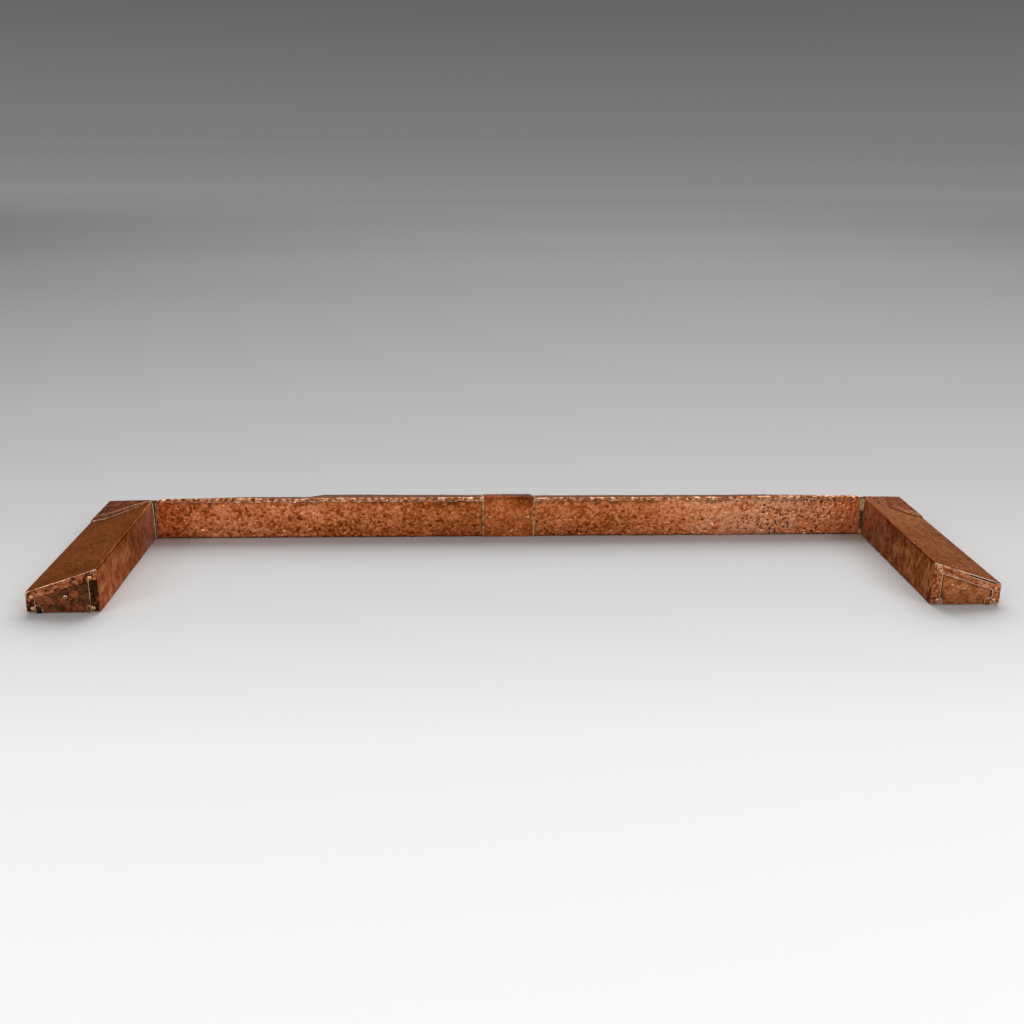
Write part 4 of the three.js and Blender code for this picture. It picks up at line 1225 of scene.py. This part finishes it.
for side, sign in (("left", -1), ("right", 1)):
    low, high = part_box(f"{side}_corner_solder")
    corner_x = 1000 * (low.x if side == "left" else high.x)
    corner_y = 1000 * high.y
    vertices, hollow_and_painted_shade, faces = [], [], []
    for k in range(FILLET_STEPS + 1):
        z = 1000 * (low.z + (high.z - low.z) * k / FILLET_STEPS)
        swell = 0.6 + 0.4 * k / FILLET_STEPS + 0.2 * noise(Vector((sign * 7, 3, z / 7)))
        leg = min(FILLET_MM * swell * 0.92, FILLET_MOST_MM)
        ring = [(0.0, 0.0, 1.0)] + fillet_outline(leg)
        for along, out, hollow in ring:
            lump = 1 + 0.2 * noise(Vector((along / 2, sign * 5 + out / 2, z / 4)))
            vertices.append((corner_x - sign * along * lump, corner_y - out * lump, z))
            # Painted shade on the right fillet, leaving its top and foot light.
            painted_shade = ease(z, *SHADE_FROM_MM) * (1 - ease(z, *SHADE_TO_MM)) * (side == "right")
            shown = 1.0 if side == "left" else 0.35 + 0.65 * painted_shade
            hollow_and_painted_shade.append(max(hollow * shown, 0.9 * painted_shade))
    size = len(fillet_outline(1)) + 1
    for k in range(FILLET_STEPS):
        for i in range(size):
            j = (i + 1) % size
            faces.append([k * size + i, k * size + j, (k + 1) * size + j, (k + 1) * size + i])
    faces += [list(range(size))[::-1], [FILLET_STEPS * size + i for i in range(size)]]
    if side == "right":
        faces = [face[::-1] for face in faces]
    fillet = new_piece(f"corner_fillet_{side}", vertices, faces, {"pit": hollow_and_painted_shade}, CAST_CREASE)
    stand_for(fillet, solder, f"{side}_corner_solder")

# ---------------------------------------------------------------- round-headed pins
# Brass upholstery pins driven through the layers into the timber. Their heads are hammered
# domes, and the one through each end plate has been punched in its middle.
PIN_HEAD_MM, PIN_RISE_MM, PIN_SHANK_MM = 7.0, 2.2, 2.6
PIN_STUB_MM, PIN_TIP_MM = 5, 6  # behind the head, where the shank begins to taper and ends
PUNCH_MM, PUNCH_DEEP_MM, PUNCH_DIRT_MM = 1.7, 1.5, 1.5
KNOCK_MM, KNOCK_DEEP_MM = 1.8, 0.25
PIN_SIDES = 28
PIN_RINGS = 8
BRASS_STAIN_MM = 3

brass, tree, shader, place = new_material("tarnished pin brass")
stained = blotches(tree, place, BRASS_STAIN_MM, 4, 0.7)
yellow = ramp(tree, stained, [(0.3, "8A5430"), (0.5, "E09E68"), (0.7, "FFE8C8")])
finish = {
    "Base Color": blended(tree, layer_of(tree, "pit"), yellow, linear("2B1A0E")),
    "Metallic": 0.75,
    "Roughness": 0.28,
}
connect(tree, shader, finish)

for node_name in sorted(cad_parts):
    if "_pin_" not in node_name:
        continue
    low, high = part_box(node_name)
    faces_fire = "room_" not in node_name or "end" in node_name
    centre_x, centre_z = 500 * (low.x + high.x), 500 * (low.z + high.z)
    outer_y = 1000 * (low.y if faces_fire else high.y)
    into = 1 if faces_fire else -1
    punched = node_name.endswith("plate")
    radius = PIN_HEAD_MM / 2
    ball = (radius**2 + PIN_RISE_MM**2) / (2 * PIN_RISE_MM)
    profile = []  # radius, depth below the crown, dirt
    for k in range(PIN_RINGS + 1):
        r = radius * k / PIN_RINGS
        depth = ball - math.sqrt(ball**2 - r**2)
        dish = PUNCH_DEEP_MM * max(0, 1 - (r / PUNCH_MM) ** 2) if punched else 0
        dark = 1.0 if punched and r < PUNCH_DIRT_MM else (r / radius) ** 8
        profile.append((r, depth + dish, dark))
    shank = PIN_SHANK_MM / 2
    profile += [(radius, PIN_RISE_MM + FIT_MM, 1.0), (shank, PIN_RISE_MM + FIT_MM, 1.0)]
    profile += [(shank, PIN_RISE_MM + PIN_STUB_MM, 1.0), (0.0, PIN_RISE_MM + PIN_TIP_MM, 1.0)]
    vertices, darkening, faces, rings = [], [], [], []
    for r, depth, dark in profile:
        count = 1 if r == 0 else PIN_SIDES
        rings.append(range(len(vertices), len(vertices) + count))
        for i in range(count):
            angle = 2 * math.pi * i / PIN_SIDES
            x, z = centre_x + r * math.cos(angle), centre_z + r * math.sin(angle)
            knock = KNOCK_DEEP_MM * noise(Vector((x, outer_y, z)) / KNOCK_MM)
            vertices.append((x, outer_y + into * (depth + knock), z))
            darkening.append(dark)
    for one, two in zip(rings, rings[1:]):
        for i in range(PIN_SIDES):
            j = (i + 1) % PIN_SIDES
            if len(one) == 1:
                face = [one[0], two[i], two[j]]
            elif len(two) == 1:
                face = [one[i], two[0], one[j]]
            else:
                face = [one[i], two[i], two[j], one[j]]
            faces.append(face if faces_fire else face[::-1])
    pin = new_piece(node_name + "_head", vertices, faces, {"pit": darkening}, PIN_CREASE)
    stand_for(pin, brass, node_name)

# ---------------------------------------------------------------- tacks under the feet
# Small flat tacks up through the turned-under edges, seen only from below.
for node_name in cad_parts:
    if "tack_" in node_name:
        paint(node_name, brass)
